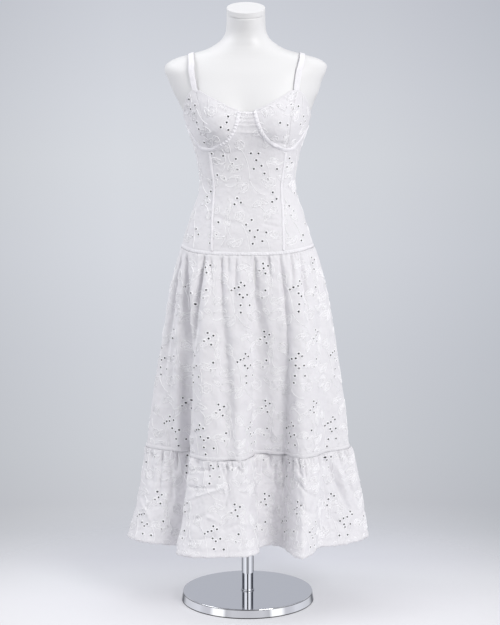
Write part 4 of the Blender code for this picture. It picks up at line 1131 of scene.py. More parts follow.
cottonLook = {
    "cloth": ((0.80, 0.79, 0.815), (0.76, 0.75, 0.775)),
    "strap": ((0.87, 0.86, 0.89), (0.84, 0.83, 0.86)),
    "thread": ((0.955, 0.95, 0.968), (0.93, 0.925, 0.943)),
    "roughness": 0.85,
    "sheen": 0.15,
    "clouds": 9.0,              # waves to a metre of the tint, the crumple and the slub
    "crumple": 56.0,
    "slub": 260.0,
    "slubShare": 0.05,          # the slub's height against the crumple's, whose own is the depth
    "depth": 0.0062,
}
formLook = {"colour": (0.79, 0.788, 0.792), "roughness": 0.42}
# the disc's thin dark lines painted into the chrome's colour, painted shade at its foot and a painted dark
# reflection below its rim's top edge: heights in metres and the share of the chrome's colour there
chromeLook = {
    "colour": (0.80, 0.81, 0.84),
    "roughness": 0.05,
    "lines": ((0.0, 0.10), (0.0022, 0.10), (0.0027, 1.0), (0.0192, 1.0), (0.0195, 0.30), (0.0207, 0.30),
              (0.0210, 1.0), (0.03, 1.0)),
}


def makeCotton(name, colours):
    # a matt weave: a fine slub and the soft crumple of washed cotton bump the surface
    look = cottonLook
    finish = Finish(bpy.data.materials.new(name), Roughness=look["roughness"], Sheen_Weight=look["sheen"])
    where = finish.coordinates()
    slub = finish.noise(where, look["slub"], 4.0, 0.6)
    clean, dull = colours
    finish.feed("Base Color", finish.tint(finish.noise(where, look["clouds"]), dull, clean))
    creased = finish.noise(where, look["crumple"], 3.0, 0.55)
    finish.feed("Normal", finish.bump(slub * look["slubShare"] + creased, look["depth"], 0.5))
    return finish.material


def makeForm():
    # a satin paint with a faint unevenness
    finish = Finish(bpy.data.materials.new("form_satin"), Roughness=formLook["roughness"])
    finish.shader.inputs["Base Color"].default_value = (*formLook["colour"], 1.0)
    finish.feed("Normal", finish.bump(finish.noise(finish.coordinates(), 30.0, 2.0), 0.0004, 0.2))
    return finish.material


def makeChrome():
    # polished metal with dark lines of painted shade and reflection by height, and a faint smear in its gloss
    look = chromeLook
    finish = Finish(bpy.data.materials.new("polished_chrome"), Metallic=1.0, Roughness=look["roughness"])
    height = finish.node("ShaderNodeSeparateXYZ", None, {"Vector": finish.coordinates()}, output=2)
    top = look["lines"][-1][0]
    stops = [(place / top, tuple(part * share for part in look["colour"])) for place, share in look["lines"]]
    finish.feed("Base Color", finish.node("ShaderNodeValToRGB", {"stops": stops}, {"Fac": height / top}))
    smear = finish.noise(finish.coordinates(), 14.0, 3.0)
    finish.feed("Roughness", smear * 0.05 + (look["roughness"] - 0.02))
    return finish.material


cottonCloth = makeCotton("cotton_batiste", cottonLook["cloth"])
strapCotton = makeCotton("plain_cotton", cottonLook["strap"])
formSatin = makeForm()
polishedChrome = makeChrome()

buildForm(formSatin)
buildStand(polishedChrome)
print("form and stand built")
buildBodice(cottonCloth)
buildStrips(strapCotton)
buildStraps(strapCotton)
addBand("waist_band", bodiceCloth, (-180, 180), waistBand, seams["waist"], 0.82, strapCotton)
print("bodice built")
buildSkirt(cottonCloth)
addBand("tier_band", upperCloth, (0, 2), tierBand, seams["tier"], 2.1, cottonCloth)
print("skirt built")


# Embroidery: one repeat of flowers, leaves, paisleys and eyelets, charted in millimetres

cord = {
    "width": 0.0024, "rise": 0.0014, "hatchWidth": 0.0016, "hatchRise": 0.0008,
    "step": 0.0024,             # from one section of a thread to the next
    "sink": 0.0003,             # how deep its feet lie in the cloth
    "blunt": 0.35,              # how wide its end starts, as a share of its width
}
# an eyelet is a whipped ring round a flat near-black disc: painted shade in place of an opening through the
# cloth
eyelet = {"radius": 0.0038, "width": 0.0035, "rise": 0.0012, "sides": 12, "shadeDisc": 0.0021, "holeRise": 0.00012}
repeat = {
    "wide": 0.138, "tall": 0.168,
    "eyelets": (
        (2, 33), (10, 26), (-3, 22), (-12, 20), (-20, 15), (-2, 5), (16, 4), (5, -2), (-1, -20), (22, -21),
        (-2, -37), (56, 83), (68, 77), (57, 70), (47, 64), (61, 56), (60, 14), (52, -4),
    ),
    "flowers": ((-38, 44, 12.0), (36, -46, 12.5), (44, 58, 9.5), (-56, -12, 10.5)),
    "leaves": (
        # x, y, turn in degrees, length, width
        (-28, 30, 118, 30, 13), (20, 34, 52, 34, 14), (-30, -2, 205, 36, 14), (24, 0, 12, 32, 13),
        (-18, -44, 232, 34, 14), (14, -38, 300, 26, 11), (52, -30, 320, 24, 10), (-62, 22, 96, 30, 12),
        (-50, -58, 20, 28, 11), (70, 44, 70, 26, 11), (30, 74, 150, 26, 11), (-8, 66, 20, 28, 12),
    ),
    "paisleys": ((46, 6, 100, 24), (-44, -38, 290, 22), (-64, 66, 200, 20)),   # x, y, turn, size
    "stems": (
        # x0, y0, bend x, bend y, x1, y1
        (-34, 32, -16, 10, -14, -40), (-14, -40, -2, -70, 24, -76), (20, 34, 30, 56, 6, 70),
        (24, 0, 36, -18, 30, -36), (-56, -2, -66, 8, -62, 22), (60, 36, 76, 10, 58, -22),
        (-46, -48, -60, -62, -72, -50),
    ),
}
# as shares of a flower's radius; its spokes lie at every 30 degrees
flower = {"notch": 0.20, "eye": 0.38 / 0.9, "spoke": (0.48, 0.74), "spokes": 12, "firstSpoke": 15}
# as shares of a leaf's length, and of its width at a rib
leaf = {"bend": 0.10, "fullest": 0.85, "vein": 0.86, "ribs": (0.16, 0.80), "ribRun": 0.13, "lastTip": 0.97,
        "ribWidth": 0.82, "ribEvery": 4.2}
paisley = {"start": 0.30, "wide": 0.62, "turns": (0.1, 1.25), "inner": 0.55, "swirl": 0.26, "swirlTurn": 7.5,
           "hatches": range(8, 34, 5)}
# the bodice front's eyelets: angle in degrees, height in tenths of a millimetre
bodiceEyelets = (
    (3.5, 11037), (11.7, 11037), (9.5, 10876), (15.9, 10741), (7.1, 10669), (19.8, 10560), (24.5, 10420),
    (-13, 10905), (-17.5, 10780), (-11.5, 10655), (-42.2, 11019), (-27.5, 10974), (-37.9, 10831),
    (-37.9, 10517), (-28.7, 10436), (-25.3, 11656), (-18.9, 11764), (-18.1, 11594), (-16.9, 11899),
    (-47.8, 12141), (-52.8, 12276), (-56, 12051), (-51.8, 11953), (-53, 11746), (-52.4, 11594),
    (-49.8, 11280), (-62.2, 11244), (39.3, 12177), (48.8, 12123), (30.9, 11755), (39.9, 11701), (61, 11880),
    (66.5, 11760), (58.5, 11700), (54, 10900), (60.5, 10790), (51.5, 10700), (55.5, 10480), (35.8, 10660),
    (30.8, 10110), (35, 9960), (28.5, 9890), (2, 9254), (9.5, 9267), (6.5, 9127), (13.2, 9045), (4.5, 8993),
    (17.5, 9217), (-1.5, 9381), (4, 9486), (-12, 9980), (-7.5, 9880), (-14.5, 9840), (-30, 9428),
    (-35.5, 9306), (-30.5, 9162), (-35, 8987), (-48.5, 10120), (-54, 9990), (-50.5, 9860), (-58, 9244),
    (-52, 9138), (-61.5, 9065), (52, 9780), (57.5, 9660), (50.5, 9561), (62, 9084), (56.5, 8974),
    (-72.5, 10700), (-77, 10560), (-71, 10460), (73, 10300), (78.5, 10180), (72, 10060), (-75, 9560),
    (-80, 9430), (76.5, 9318), (81.5, 9196),
)


def moved(line, x, y, turn):
    # a line turned about its start, moved, and taken from millimetres to metres
    turn = math.radians(turn)
    ahead = np.array([math.cos(turn), math.sin(turn)])
    aside = np.array([-math.sin(turn), math.cos(turn)])
    return (line[:, :1] * ahead + line[:, 1:] * aside + np.array([x, y])) * 0.001


def even(line, closed=False):
    # the line read again at equal steps
    line = np.concatenate([line, line[:1]]) if closed else line
    run = pathLength(line)
    count = max(int(round(run[-1] / cord["step"])), 2)
    at = np.linspace(0, run[-1], count + 1)[:count if closed else count + 1]
    return np.stack([np.interp(at, run, line[:, axis]) for axis in (0, 1)], axis=-1)


def around(reach, turn):
    # the points at these reaches and turns
    return np.stack([reach * np.cos(turn), reach * np.sin(turn)], axis=-1)


def flowerLines(x, y, radius, outline, hatch):
    # six petals, radius (1 - notch + notch |cos 3t|), a ring inside them and a wheel of spokes
    turn = np.linspace(0, 2 * math.pi, 96, endpoint=False)
    petals = around(radius * (1 - flower["notch"] + flower["notch"] * np.abs(np.cos(3 * turn))), turn)
    lines = [(moved(petals, x, y, x), True, *outline), (moved(petals * flower["eye"], x, y, 0), True, *hatch)]
    spoke = np.array([(radius * end, 0.0) for end in flower["spoke"]])
    turns = flower["firstSpoke"] + np.arange(flower["spokes"]) * 360 / flower["spokes"]
    return lines + [(moved(spoke, x, y, x + turn), False, *hatch) for turn in turns]


def leafLines(x, y, tilt, length, width, outline, hatch):
    # half as wide as width sin(pi s^0.85), round a vein bent by sin(pi s), with ribs to both sides
    share = np.linspace(0, 1, 40)

    def bend(share):
        return leaf["bend"] * length * np.sin(math.pi * share)

    def half(share):
        return width / 2 * np.sin(math.pi * share ** leaf["fullest"])

    upper = np.stack([length * share, bend(share) + half(share)], axis=-1)
    lower = np.stack([length * share, bend(share) - half(share)], axis=-1)[::-1]
    vein = np.stack([length * share * leaf["vein"], bend(share)], axis=-1)
    lines = [(moved(np.concatenate([upper[:-1], lower[:-1]]), x, y, tilt), True, *outline),
             (moved(vein, x, y, tilt), False, *hatch)]
    for root in np.arange(*leaf["ribs"], leaf["ribEvery"] / length):
        tip = min(root + leaf["ribRun"], leaf["lastTip"])
        for sign in (1, -1):
            rib = np.array([(length * root, bend(root)),
                            (length * tip, bend(tip) + sign * leaf["ribWidth"] * half(tip))])
            lines.append((moved(rib, x, y, tilt), False, *hatch))
    return lines


def paisleyLines(x, y, tilt, size, outline, hatch):
    # a back that swells as it curls, an inner side drawn to its end, a swirl at its root and hatches
    share = np.linspace(0, 1, 40)
    reach = size * (paisley["start"] + (1 - paisley["start"]) * share ** 1.6)
    back = around(reach, math.pi * (paisley["turns"][0] + paisley["turns"][1] * share))
    back[:, 0] *= paisley["wide"]
    inner = back * paisley["inner"] + back[-1] * (1 - paisley["inner"]) * share[:, None] ** 1.5
    spin = around(size * paisley["swirl"] * (1 - share) + 0.8, paisley["swirlTurn"] * share)
    lines = [(moved(np.concatenate([back, inner[-2:0:-1]]), x, y, tilt), True, *outline),
             (moved(spin, x, y, tilt), False, *outline)]
    return lines + [(moved(np.stack([inner[place], back[place]]) * 0.97, x, y, tilt), False, *hatch)
                    for place in paisley["hatches"]]


def stemLine(x0, y0, bendX, bendY, x1, y1, outline):
    # a curve from its start past its bend to its end
    part = np.linspace(0, 1, 40)[:, None]
    stem = (np.array([x0, y0]) * (1 - part) ** 2 + np.array([bendX, bendY]) * 2 * part * (1 - part)
            + np.array([x1, y1]) * part ** 2)
    return stem * 0.001, False, *outline


def motifLines():
    # every thread of the repeat's flowers, leaves and stems as (line, closed, width, rise)
    outline, hatch = (cord["width"], cord["rise"]), (cord["hatchWidth"], cord["hatchRise"])
    lines = []
    for kind, drawn in (("flowers", flowerLines), ("leaves", leafLines), ("paisleys", paisleyLines)):
        for row in repeat[kind]:
            lines += drawn(*row, outline, hatch)
    return lines + [stemLine(*row, outline) for row in repeat["stems"]]


def eyeletLines(places):
    # a whipped ring round each hole, whose closed is None
    ring = around(eyelet["radius"], np.linspace(0, 2 * math.pi, eyelet["sides"], endpoint=False))
    return [(ring + np.array(place) * 0.001, None, eyelet["width"], eyelet["rise"]) for place in places]


def threadSection(line, closed, width, rise):
    # three points across at every step: its two feet in the cloth and its crest
    ahead = np.roll(line, -1, axis=0) - np.roll(line, 1, axis=0) if closed else np.gradient(line, axis=0)
    ahead = unit(ahead)
    run = pathLength(line)
    ends = np.clip(cord["blunt"] + np.minimum(run, run[-1] - run) / width, 0, 1)
    if closed:
        ends = np.ones(len(line))
    aside = np.stack([ahead[:, 1], -ahead[:, 0]], axis=-1) * (ends * width / 2)[:, None]
    feet = np.full(len(line), -cord["sink"])
    lifts = np.stack([feet, rise * ends, feet], axis=-1)
    return np.concatenate([np.stack([line - aside, line, line + aside], axis=1), lifts[..., None]], axis=-1)


def chartedMesh(lines):
    # these lines' threads and the eyelets' dark discs of painted shade, each vertex with the number of the
    # thread that it belongs to
    kinds = {"threads": [[], [], [np.zeros((0, 3), int)], [], []], "holes": [[], [], [], [], []]}

    def chart(kind, rows, index, ends, anchor):
        # adds one thread or one dark disc of painted shade, whose index and ends count from its own first
        # point
        points, quads, caps, owners, anchors = kinds[kind]
        start = sum(map(len, points))
        quads.append(gridQuads(index) + start)
        if ends:
            caps.append(np.array(ends) + start)
        points.append(rows)
        owners.append(np.full(len(rows), len(anchors)))
        anchors.append(anchor)

    for line, closed, width, rise in lines:
        tube = closed is not False
        section = threadSection(line if closed is None else even(line, closed), tube, width, rise)
        index = np.arange(section.shape[0] * 3).reshape(-1, 3)[:, [0, 1, 2, 0]]
        ends = [] if tube else [index[0, [2, 1, 0]], index[-1, [0, 1, 2]]]
        index = np.concatenate([index, index[:1]]) if tube else index
        chart("threads", section.reshape(-1, 3), index, ends, section[..., :2].reshape(-1, 2).mean(axis=0))
        if closed is None:
            # the hole: a flat dark disc of painted shade, just over the cloth
            middle = line.mean(axis=0)
            flat = middle + (line - middle) * eyelet["shadeDisc"] / eyelet["radius"]
            rows = [np.concatenate([flat, np.full((len(flat), 1), lift)], axis=-1)
                    for lift in (-cord["sink"], eyelet["holeRise"])]
            index = np.arange(2 * len(flat)).reshape(2, -1)
            chart("holes", np.concatenate(rows), wrapped(index), [index[1], index[0, ::-1]], middle)
    return {kind: [np.concatenate(part) for part in parts[:4]] + [np.array(parts[4])]
            for kind, parts in kinds.items() if parts[4]}


laying = {
    "columns": 900, "rows": 60, "reach": 2.2,   # the table of places
    "margin": 0.02,             # how far past a limit a thread's middle may lie
    "hide": 0.0002,             # what is cut off lies this deep in the cloth
    "stretch": (0.6, 1.6), "mostCut": 0.6,
}


def placeTable(surface, acrossRange, heights, middle):
    # for each height, the place at every even step of length round from the middle
    across = np.linspace(*acrossRange, laying["columns"])
    points = surface(across[None, :] + 0 * heights[:, None], heights[:, None] + 0 * across[None, :])
    steps = np.linalg.norm(np.diff(points, axis=1), axis=-1)
    run = np.concatenate([np.zeros((len(heights), 1)), np.cumsum(steps, axis=1)], axis=1)
    start = np.array([np.interp(middle, across, row) for row in run])
    lengths = np.linspace(-laying["reach"], laying["reach"], laying["columns"])
    places = np.array([np.interp(lengths + begin, row, across, left=np.nan, right=np.nan)
                       for row, begin in zip(run, start)])
    return {"heights": heights, "lengths": lengths, "places": places}


def readPlaces(table, length, height):
    # the table at any length and height, by its four nearest entries
    row = np.interp(height, table["heights"], np.arange(len(table["heights"])))
    column = np.interp(length, table["lengths"], np.arange(len(table["lengths"])))
    low, left = np.floor(row).astype(int), np.floor(column).astype(int)
    high = np.minimum(low + 1, len(table["heights"]) - 1)
    right = np.minimum(left + 1, len(table["lengths"]) - 1)
    up, on = row - low, column - left
    found = table["places"]
    return ((found[low, left] * (1 - on) + found[low, right] * on) * (1 - up)
            + (found[high, left] * (1 - on) + found[high, right] * on) * up)


def localMetric(surface, across, height, nearby):
    # lengths of the two slopes there, and how far they lean together
    byAcross, byHeight = slopes(surface, across, height, nearby)
    rate = np.linalg.norm(byAcross, axis=-1)
    lean = (byAcross * byHeight).sum(-1) / rate
    return rate, lean, np.sqrt((byHeight * byHeight).sum(-1) - lean * lean)


def embroider(name, cloth, sites, acrossUnit, low, high, keep, chart, materials):
    # lays the repeat at every site (place, height), true to size at each thread, cut at the limits
    made = []
    for kind, material in zip(chart, materials):
        points, quads, caps, owners, anchors = chart[kind]
        length, height = sites["length"][:, None] + anchors[:, 0], sites["height"][:, None] + anchors[:, 1]
        place = readPlaces(sites["table"], length, height)
        inside = np.isfinite(place) & keep(place)
        place = np.where(inside, place, 0.5 * (acrossUnit[1] + acrossUnit[2]))
        inside &= (height > low(place) - laying["margin"]) & (height < high(place) + laying["margin"])
        rate, lean, climb = localMetric(cloth["surface"], place, height, acrossUnit[0])
        offset = points[:, :2] - anchors[owners]
        rise = offset[:, 1] / climb[:, owners]
        goal = offset[:, 0] - lean[:, owners] * rise
        across = place[:, owners] + goal / rate[:, owners]
        level = height[:, owners] + rise
        midway = (place[:, owners] + across) / 2
        nearer = localMetric(cloth["surface"], midway, (height[:, owners] + level) / 2, acrossUnit[0])[0]
        least, most = (share * rate[:, owners] for share in laying["stretch"])
        across = place[:, owners] + goal / np.clip(nearer, least, most)
        bottom, top = low(across), high(across)
        beyond = (level < bottom) | (level > top)
        lift = np.where(beyond, -laying["hide"], cotton["thickness"] / 2 + points[:, 2])
        vertices = laid(cloth, across, np.clip(level, bottom, top), lift)[0]
        gone = np.zeros(inside.shape)
        np.add.at(gone, (slice(None), owners), beyond)
        inside &= gone < laying["mostCut"] * np.bincount(owners, minlength=len(anchors))
        kept = inside[:, owners]
        number = np.cumsum(kept.ravel()).reshape(kept.shape) - 1
        faces = []
        for corners in (quads, caps):
            shown = inside[:, owners[corners[:, 0]]]
            faces.append(number[:, corners][shown])
        piece = addPiece(name + "_" + kind, vertices[kept], faces, material)
        print(piece.name, int(kept.sum()), "points")
        made.append(piece)
    return made


def sitesOver(table, lengths, heights, shift):
    # rows of the repeat, each column's place measured round from the middle
    rows = np.arange(*heights, repeat["tall"])
    length, height = np.meshgrid(np.arange(-lengths, lengths, repeat["wide"]) + shift, rows)
    return {"table": table, "length": length.ravel(), "height": height.ravel()}


# Lay the embroidery

# rows of repeats: how far round they reach to each side, their lowest and highest, and their shift
bodiceLayout = {"top": 1.255, "reach": 0.552, "rows": (0.912, 1.30), "shift": 0.019, "nearby": 0.5,
                "belowEdge": 0.0035, "aboveBand": 0.002, "seamAngle": 176}
tierLayout = {
    "reach": 1.38, "over": 0.08, "nearby": 0.002, "belowSeam": 0.004, "aboveHem": 0.001, "besideSeam": 0.004,
    "starts": (0.435, 0.20),
    # side, its first place, the places that the table covers, its shift
    "halves": (("front", 0, (-0.55, 1.45), -0.020), ("back", 1, (0.45, 2.55), 0.055)),
}


def layEmbroidery(threads, shadeDisc):
    # the repeat over the bodice and both tiers in halves, and the bodice front's own eyelets
    motifs, both = motifLines(), (threads, shadeDisc)
    chart = chartedMesh(motifs + eyeletLines(repeat["eyelets"]))
    print("repeat has", len(chart["threads"][0]), "points")
    bodice = bodiceLayout
    heights = np.linspace(seams["waist"] + 0.001, bodice["top"], laying["rows"])
    table = placeTable(saggedBodice, (-180, 180), heights, 0.0)

    def bodiceTop(angle):
        # the neckline, the armhole or the back's edge, less a margin
        turned = np.abs(angle)
        corner = neckline["rows"][-1][0]
        front = np.where(turned < corner, edgeHeight(neckline, turned), edgeHeight(armhole, turned))
        return np.where(turned < 90, front, edgeHeight(backTop, turned)) - bodice["belowEdge"]

    def bodiceLow(angle):
        # just above the waist band
        return seams["waist"] + waistBand["height"] + bodice["aboveBand"] + 0 * angle

    found = {}
    sites = sitesOver(table, bodice["reach"], bodice["rows"], bodice["shift"])
    limits = ((bodice["nearby"], -180, 180), bodiceLow, bodiceTop)
    found["bodice_front"] = embroider("bodice_front", bodiceCloth, sites, *limits,
                                      lambda angle: np.abs(angle) < 90, chartedMesh(motifs), (threads,))
    # a table whose lengths are angles, so that each eyelet lies at its own angle and height
    angles = {"heights": heights, "lengths": np.array([-0.18, 0.18]),
              "places": np.array([[-180.0, 180.0]] * len(heights))}
    spots = np.array(bodiceEyelets)
    spots = {"table": angles, "length": spots[:, 0] * 0.001, "height": spots[:, 1] / 10000}
    ring = chartedMesh(eyeletLines(((0, 0),)))
    found["bodice_front"] += embroider("bodice_eyelets", bodiceCloth, spots, *limits,
                                       lambda angle: angle < 90, ring, both)
    found["bodice_back"] = embroider(
        "bodice_back", bodiceCloth, sites, *limits,
        lambda angle: (np.abs(angle) >= 90) & (np.abs(angle) < bodice["seamAngle"]), chart, both)
    tier = tierLayout
    tiers = (
        ("upper_tier_", upperCloth, seams["tier"] + 0.001, seams["waist"] - 0.002,
         lambda place: seams["tier"] + tierBand["height"] + 0.002 + 0 * place,
         lambda place: seams["waist"] - tier["belowSeam"] + 0 * place),
        ("flounce_", flounceCloth, seams["hem"] - 0.003, seams["tier"] - 0.001,
         lambda place: hemHeight(place) + tier["aboveHem"],
         lambda place: seams["tier"] - tier["belowSeam"] + 0 * place),
    )
    margin = tier["besideSeam"]
    for (label, cloth, low, high, lowest, highest), start in zip(tiers, tier["starts"]):
        for side, first, ends, shift in tier["halves"]:
            table = placeTable(cloth["surface"], ends, np.linspace(low, high, laying["rows"]), first + 0.5)
            sites = sitesOver(table, tier["reach"], (start, high + tier["over"]), shift)
            found[label + side] = embroider(
                label + side, cloth, sites, (tier["nearby"], first, first + 1), lowest, highest,
                lambda place: (place > first + margin) & (place < first + 1 - margin), chart, both)
    return found


# Stitches: short raised dashes along a line

stitch = {"length": 0.0022, "every": 0.0031, "width": 0.0006, "rise": 0.00025, "sink": 0.0001}
overlock = {"every": 0.0032, "length": 0.0055, "width": 0.0013, "rise": 0.0010, "lean": 0.0022, "seed": 4,
            "longer": (0.6, 1.3), "start": 0.0012, "above": 0.0004}
bandSeams = (0.14, 0.86)        # the two stitch lines of a band, as shares of its height
edgeSeam = 0.0050               # below the top edges
hemSeam = 0.0015                # below the turned hem's upper edge


def addDashes(name, rows, material):
    # small ridges: each has a foot, a crest and a foot at its start and again at its end
    start = np.arange(len(rows))[:, None, None] * 6
    quads = np.array([[0, 1, 4, 3], [1, 2, 5, 4], [2, 0, 3, 5]]) + start
    caps = np.array([[2, 1, 0], [3, 4, 5]]) + start
    return addPiece(name, rows.reshape(-1, 3), [quads.reshape(-1, 4), caps.reshape(-1, 3)], material)


def addStitches(name, paths, material):
    # dashes at even steps of each path, which is its points and normals, pointing along it
    parts = []
    for points, normal in paths:
        run = pathLength(points)
        at = np.arange(stitch["every"] / 2, run[-1] - stitch["every"] / 2, stitch["every"])
        middle, up, ahead = (np.stack([np.interp(at, run, rows[:, axis]) for axis in range(3)], axis=-1)
                             for rows in (points, normal, np.gradient(points, axis=0)))
        ahead = unit(ahead)
        aside = unit(np.cross(ahead, up))
        rows = [middle + ahead * stitch["length"] / 2 * end + aside * stitch["width"] / 2 * side
                + up * (-stitch["sink"] if side else stitch["rise"])
                for end in (-1, 1) for side in (-1, 0, 1)]
        parts.append(np.stack(rows, axis=1))
    return addDashes(name, np.concatenate(parts), material)


def addOverlock(name, material):
    # the hem's raw edge: short leaning threads wrapped over it, as ragged as the hem
    place = np.arange(overlock["start"], 2, overlock["every"])
    chance = np.random.default_rng(overlock["seed"])
    lean = chance.uniform(-1, 1, len(place)) * overlock["lean"]
    long = overlock["length"] * chance.uniform(*overlock["longer"], len(place))
    lift = cotton["thickness"] / 2 + hem["fold"]
    rows = [laid(flounceCloth, place + lean * end + side * overlock["width"] / 2,
                 hemHeight(place) + overlock["above"] + end * long,
                 lift + (0 if side else overlock["rise"]))[0]
            for end in (0, 1) for side in (-1, 0, 1)]
    return addDashes(name, np.stack(rows, axis=1), material)


def sewSeams(material):
    # two lines on each band, one above the hem and below each top edge, and the hem's overlock
    onCloth = cotton["thickness"] / 2
    onStrip = onCloth + cotton["stripGap"] + cotton["stripThickness"]
    made = {}
    for name, seam, cloth, band, across in (
            ("waist_band", "waist", bodiceCloth, waistBand, np.linspace(-180, 180, 900)),
            ("tier_band", "tier", upperCloth, tierBand, np.linspace(0, 2, 2400))):
        lift = onStrip + 0.5 * band["rise"] + band["crown"]
        lines = [laid(cloth, across, seams[seam] + share * band["height"], lift) for share in bandSeams]
        made[name] = addStitches(name + "_stitches", lines, material)
    for label, first in (("front", 0), ("back", 1)):
        half = first + np.linspace(0.002, 0.998, 1200)
        line = laid(flounceCloth, half, hemHeight(half) + hem["depth"] - hemSeam, onCloth + hem["fold"])
        made["flounce_" + label] = addStitches("hem_stitches_" + label, [line], material)
    lines = []
    for sign in (-1, 1):
        for table, ends in ((neckline, (6.8, 41.3)), (armhole, (42.0, 89.8)), (backTop, (90.2, 179.8))):
            angle = np.linspace(*ends, 300)
            lines.append(laid(bodiceCloth, sign * angle, edgeHeight(table, angle) - edgeSeam, onCloth))
    made["edges"] = addStitches("edge_stitches", lines, material)
    made["overlock"] = addOverlock("hem_overlock", material)
    return made


cottonThread = makeCotton("satin_thread", cottonLook["thread"])
# near-black: painted shade standing in for what is seen through an eyelet's opening
paintedHoleShade = Finish(bpy.data.materials.new("eyelet_painted_shade"), Roughness=1.0)
paintedHoleShade.shader.inputs["Base Color"].default_value = (0.035, 0.033, 0.038, 1.0)
embroidery = layEmbroidery(cottonThread, paintedHoleShade.material)
stitches = sewSeams(cottonThread)
print("embroidery and stitches laid")


# Sheets: the flat size that each piece was cut to, in metres, and what is sewn on it

sheetSizes = {
    "centre_front": (0.20, 0.345),
    **{part + side: flat for part, flat in (("side_front_", (0.135, 0.300)), ("inner_cup_", (0.120, 0.145)),
                                            ("outer_cup_", (0.110, 0.145)), ("back_", (0.215, 0.315)))
       for side in ("left", "right")},
}
tierSizes = {"upper_tier_front": (0.72, 0.50), "upper_tier_back": (0.72, 0.50),
             "flounce_front": (1.05, 0.245), "flounce_back": (1.05, 0.245)}


def declareSheets():
    # prints each piece's measured area and its share of the rectangle that it was cut from; what is sewn on
    # each is listed but not used
    cloth = {name[:-6]: thing for name, thing in bpy.data.objects.items() if name.endswith("_cloth")}
    sewn = {
        "centre_front": embroidery["bodice_front"] + [stitches["edges"]],
        "back_left": embroidery["bodice_back"],
        "upper_tier_front": embroidery["upper_tier_front"] + [
            cloth["waist_band"], stitches["waist_band"], cloth["tier_band"], stitches["tier_band"]],
        "upper_tier_back": embroidery["upper_tier_back"],
        "flounce_front": embroidery["flounce_front"] + [stitches["flounce_front"], stitches["overlock"]],
        "flounce_back": embroidery["flounce_back"] + [stitches["flounce_back"]],
    }
    for side in ("left", "right"):
        sewn["side_front_" + side] = [cloth["front_casing_" + side]]
        sewn["inner_cup_" + side] = [cloth["wire_channel_" + side], cloth["strap_" + side]]
    for name, flat in {**sheetSizes, **tierSizes}.items():
        print("cut", name, round(cuts[name], 5), round(cuts[name] / (flat[0] * flat[1]), 3))


declareSheets()


# Studio

def alike(tones):
    # stops whose tones have three equal parts
    return tuple((place, (tone, tone, tone)) for place, tone in tones)


studio = {
    "cameraPlace": (0.0057, -4.2, 1.35),
    "pitch": 8.60,
    "focal": 1759.0,            # in pixels of the photograph
    "photoHeight": 625,
    "sensor": 36.0,
    # the floor's tone by its distance behind the object's middle, in metres: darker behind, painted shade for
    # the soft shadow and the falloff of light behind the dress
    "floor": ((-0.5, (236, 236, 240)), (-0.2, (236, 236, 240)), (0.0, (233, 233, 238)),
              (0.17, (225, 226, 231)), (0.35, (213, 214, 221)), (0.7, (199, 201, 209)),
              (1.1, (196, 198, 205))),
    "floorGlow": 0.40,          # the share of the floor's tone that needs no light
    "floorRadius": 1.15,
    "floorFade": (0.35, 0.95),  # where it starts in metres, and its end as a share of the radius
    "floorSides": 96, "floorRings": 24,
    # the backdrop's tone at each elevation seen from the camera, in degrees
    "backdrop": ((-18.2, (244, 244, 247)), (-17.5, (239, 239, 242)), (-16.9, (229, 229, 233)),
                 (-16.3, (218, 219, 223)), (-15.6, (207, 209, 214)), (-14.7, (201, 203, 209)),
                 (-13.1, (204, 207, 213)), (-9.8, (208, 211, 218)), (-6.6, (214, 217, 224)),
                 (-3.6, (216, 219, 225)), (-1.7, (213, 216, 223)), (1.4, (205, 208, 216)),
                 (6.0, (195, 198, 207))),
    # and the share of it at each heading, as a tone that multiplies
    "sideways": ((-180, (237, 237, 238)), (-8.5, (241, 241, 241)), (-6.0, (250, 250, 250)),
                 (-4.0, (255, 255, 255)), (0.0, (253, 253, 253)), (4.2, (247, 247, 247)),
                 (6.2, (241, 241, 242)), (8.5, (233, 234, 235)), (180, (237, 237, 238))),
    "lights": (
        # place, target, size, watts, colour
        ("key", (2.0, -2.9, 2.4), (0, 0, 0.70), (1.5, 1.5), 82, (1.0, 0.99, 0.975)),
        ("fill", (-3.0, -0.3, 3.1), (0, 0, 0.70), (2.2, 2.2), 52, (0.98, 0.99, 1.0)),
        ("top", (0.2, 0.2, 3.4), (0, 0, 1.1), (1.8, 1.8), 5, (1.0, 1.0, 1.0)),
    ),
}
# what lights the object from all round: tones by elevation, times tones by how far round from the front
room = {
    "strength": 1.29,
    "byElevation": ((-90, (215, 215, 221)), (-20, (212, 213, 218)), (8, (212, 213, 219)),
                    (25, (226, 227, 232)), (60, (240, 241, 245)), (90, (240, 241, 245))),
    "byHeading": alike(((0, 120), (45, 160), (90, 255), (150, 225), (180, 195))),
    # three bands that are mirrored by the disc's rim, by the pole by way of the disc, and by the pole:
    # middle and half in degrees of elevation, tones by heading
    "bandEdge": 3.0,
    "bands": (
        (1.0, 4.0, ((0, (190, 190, 194)), (26, (196, 196, 200)), (37, (184, 184, 188)), (43, (255, 255, 255)),
                    (60, (255, 255, 255)), (68, (198, 198, 203)), (100, (190, 190, 196)),
                    (132, (140, 141, 146)), (180, (120, 121, 126)))),
        (17.5, 4.0, ((0, (4, 4, 5)), (10, (8, 8, 9)), (16, (240, 241, 244)), (50, (240, 241, 244)),
                     (70, (130, 132, 138)), (92, (40, 41, 45)), (118, (60, 62, 68)), (140, (171, 173, 180)),
                     (180, (171, 173, 180)))),
        (-17.0, 3.0, ((0, (130, 130, 134)), (9, (138, 138, 142)), (20, (150, 151, 156)),
                      (30, (226, 227, 232)), (60, (226, 227, 232)), (78, (196, 197, 203)),
                      (104, (184, 185, 191)), (126, (110, 112, 118)), (150, (70, 72, 78)),
                      (180, (190, 191, 197)))),
    ),
}


def linear(tone):
    # a display tone from 0 to 255 as light
    part = np.array(tone, float) / 255
    return tuple(np.where(part < 0.04045, part / 12.92, ((part + 0.055) / 1.055) ** 2.4).tolist())


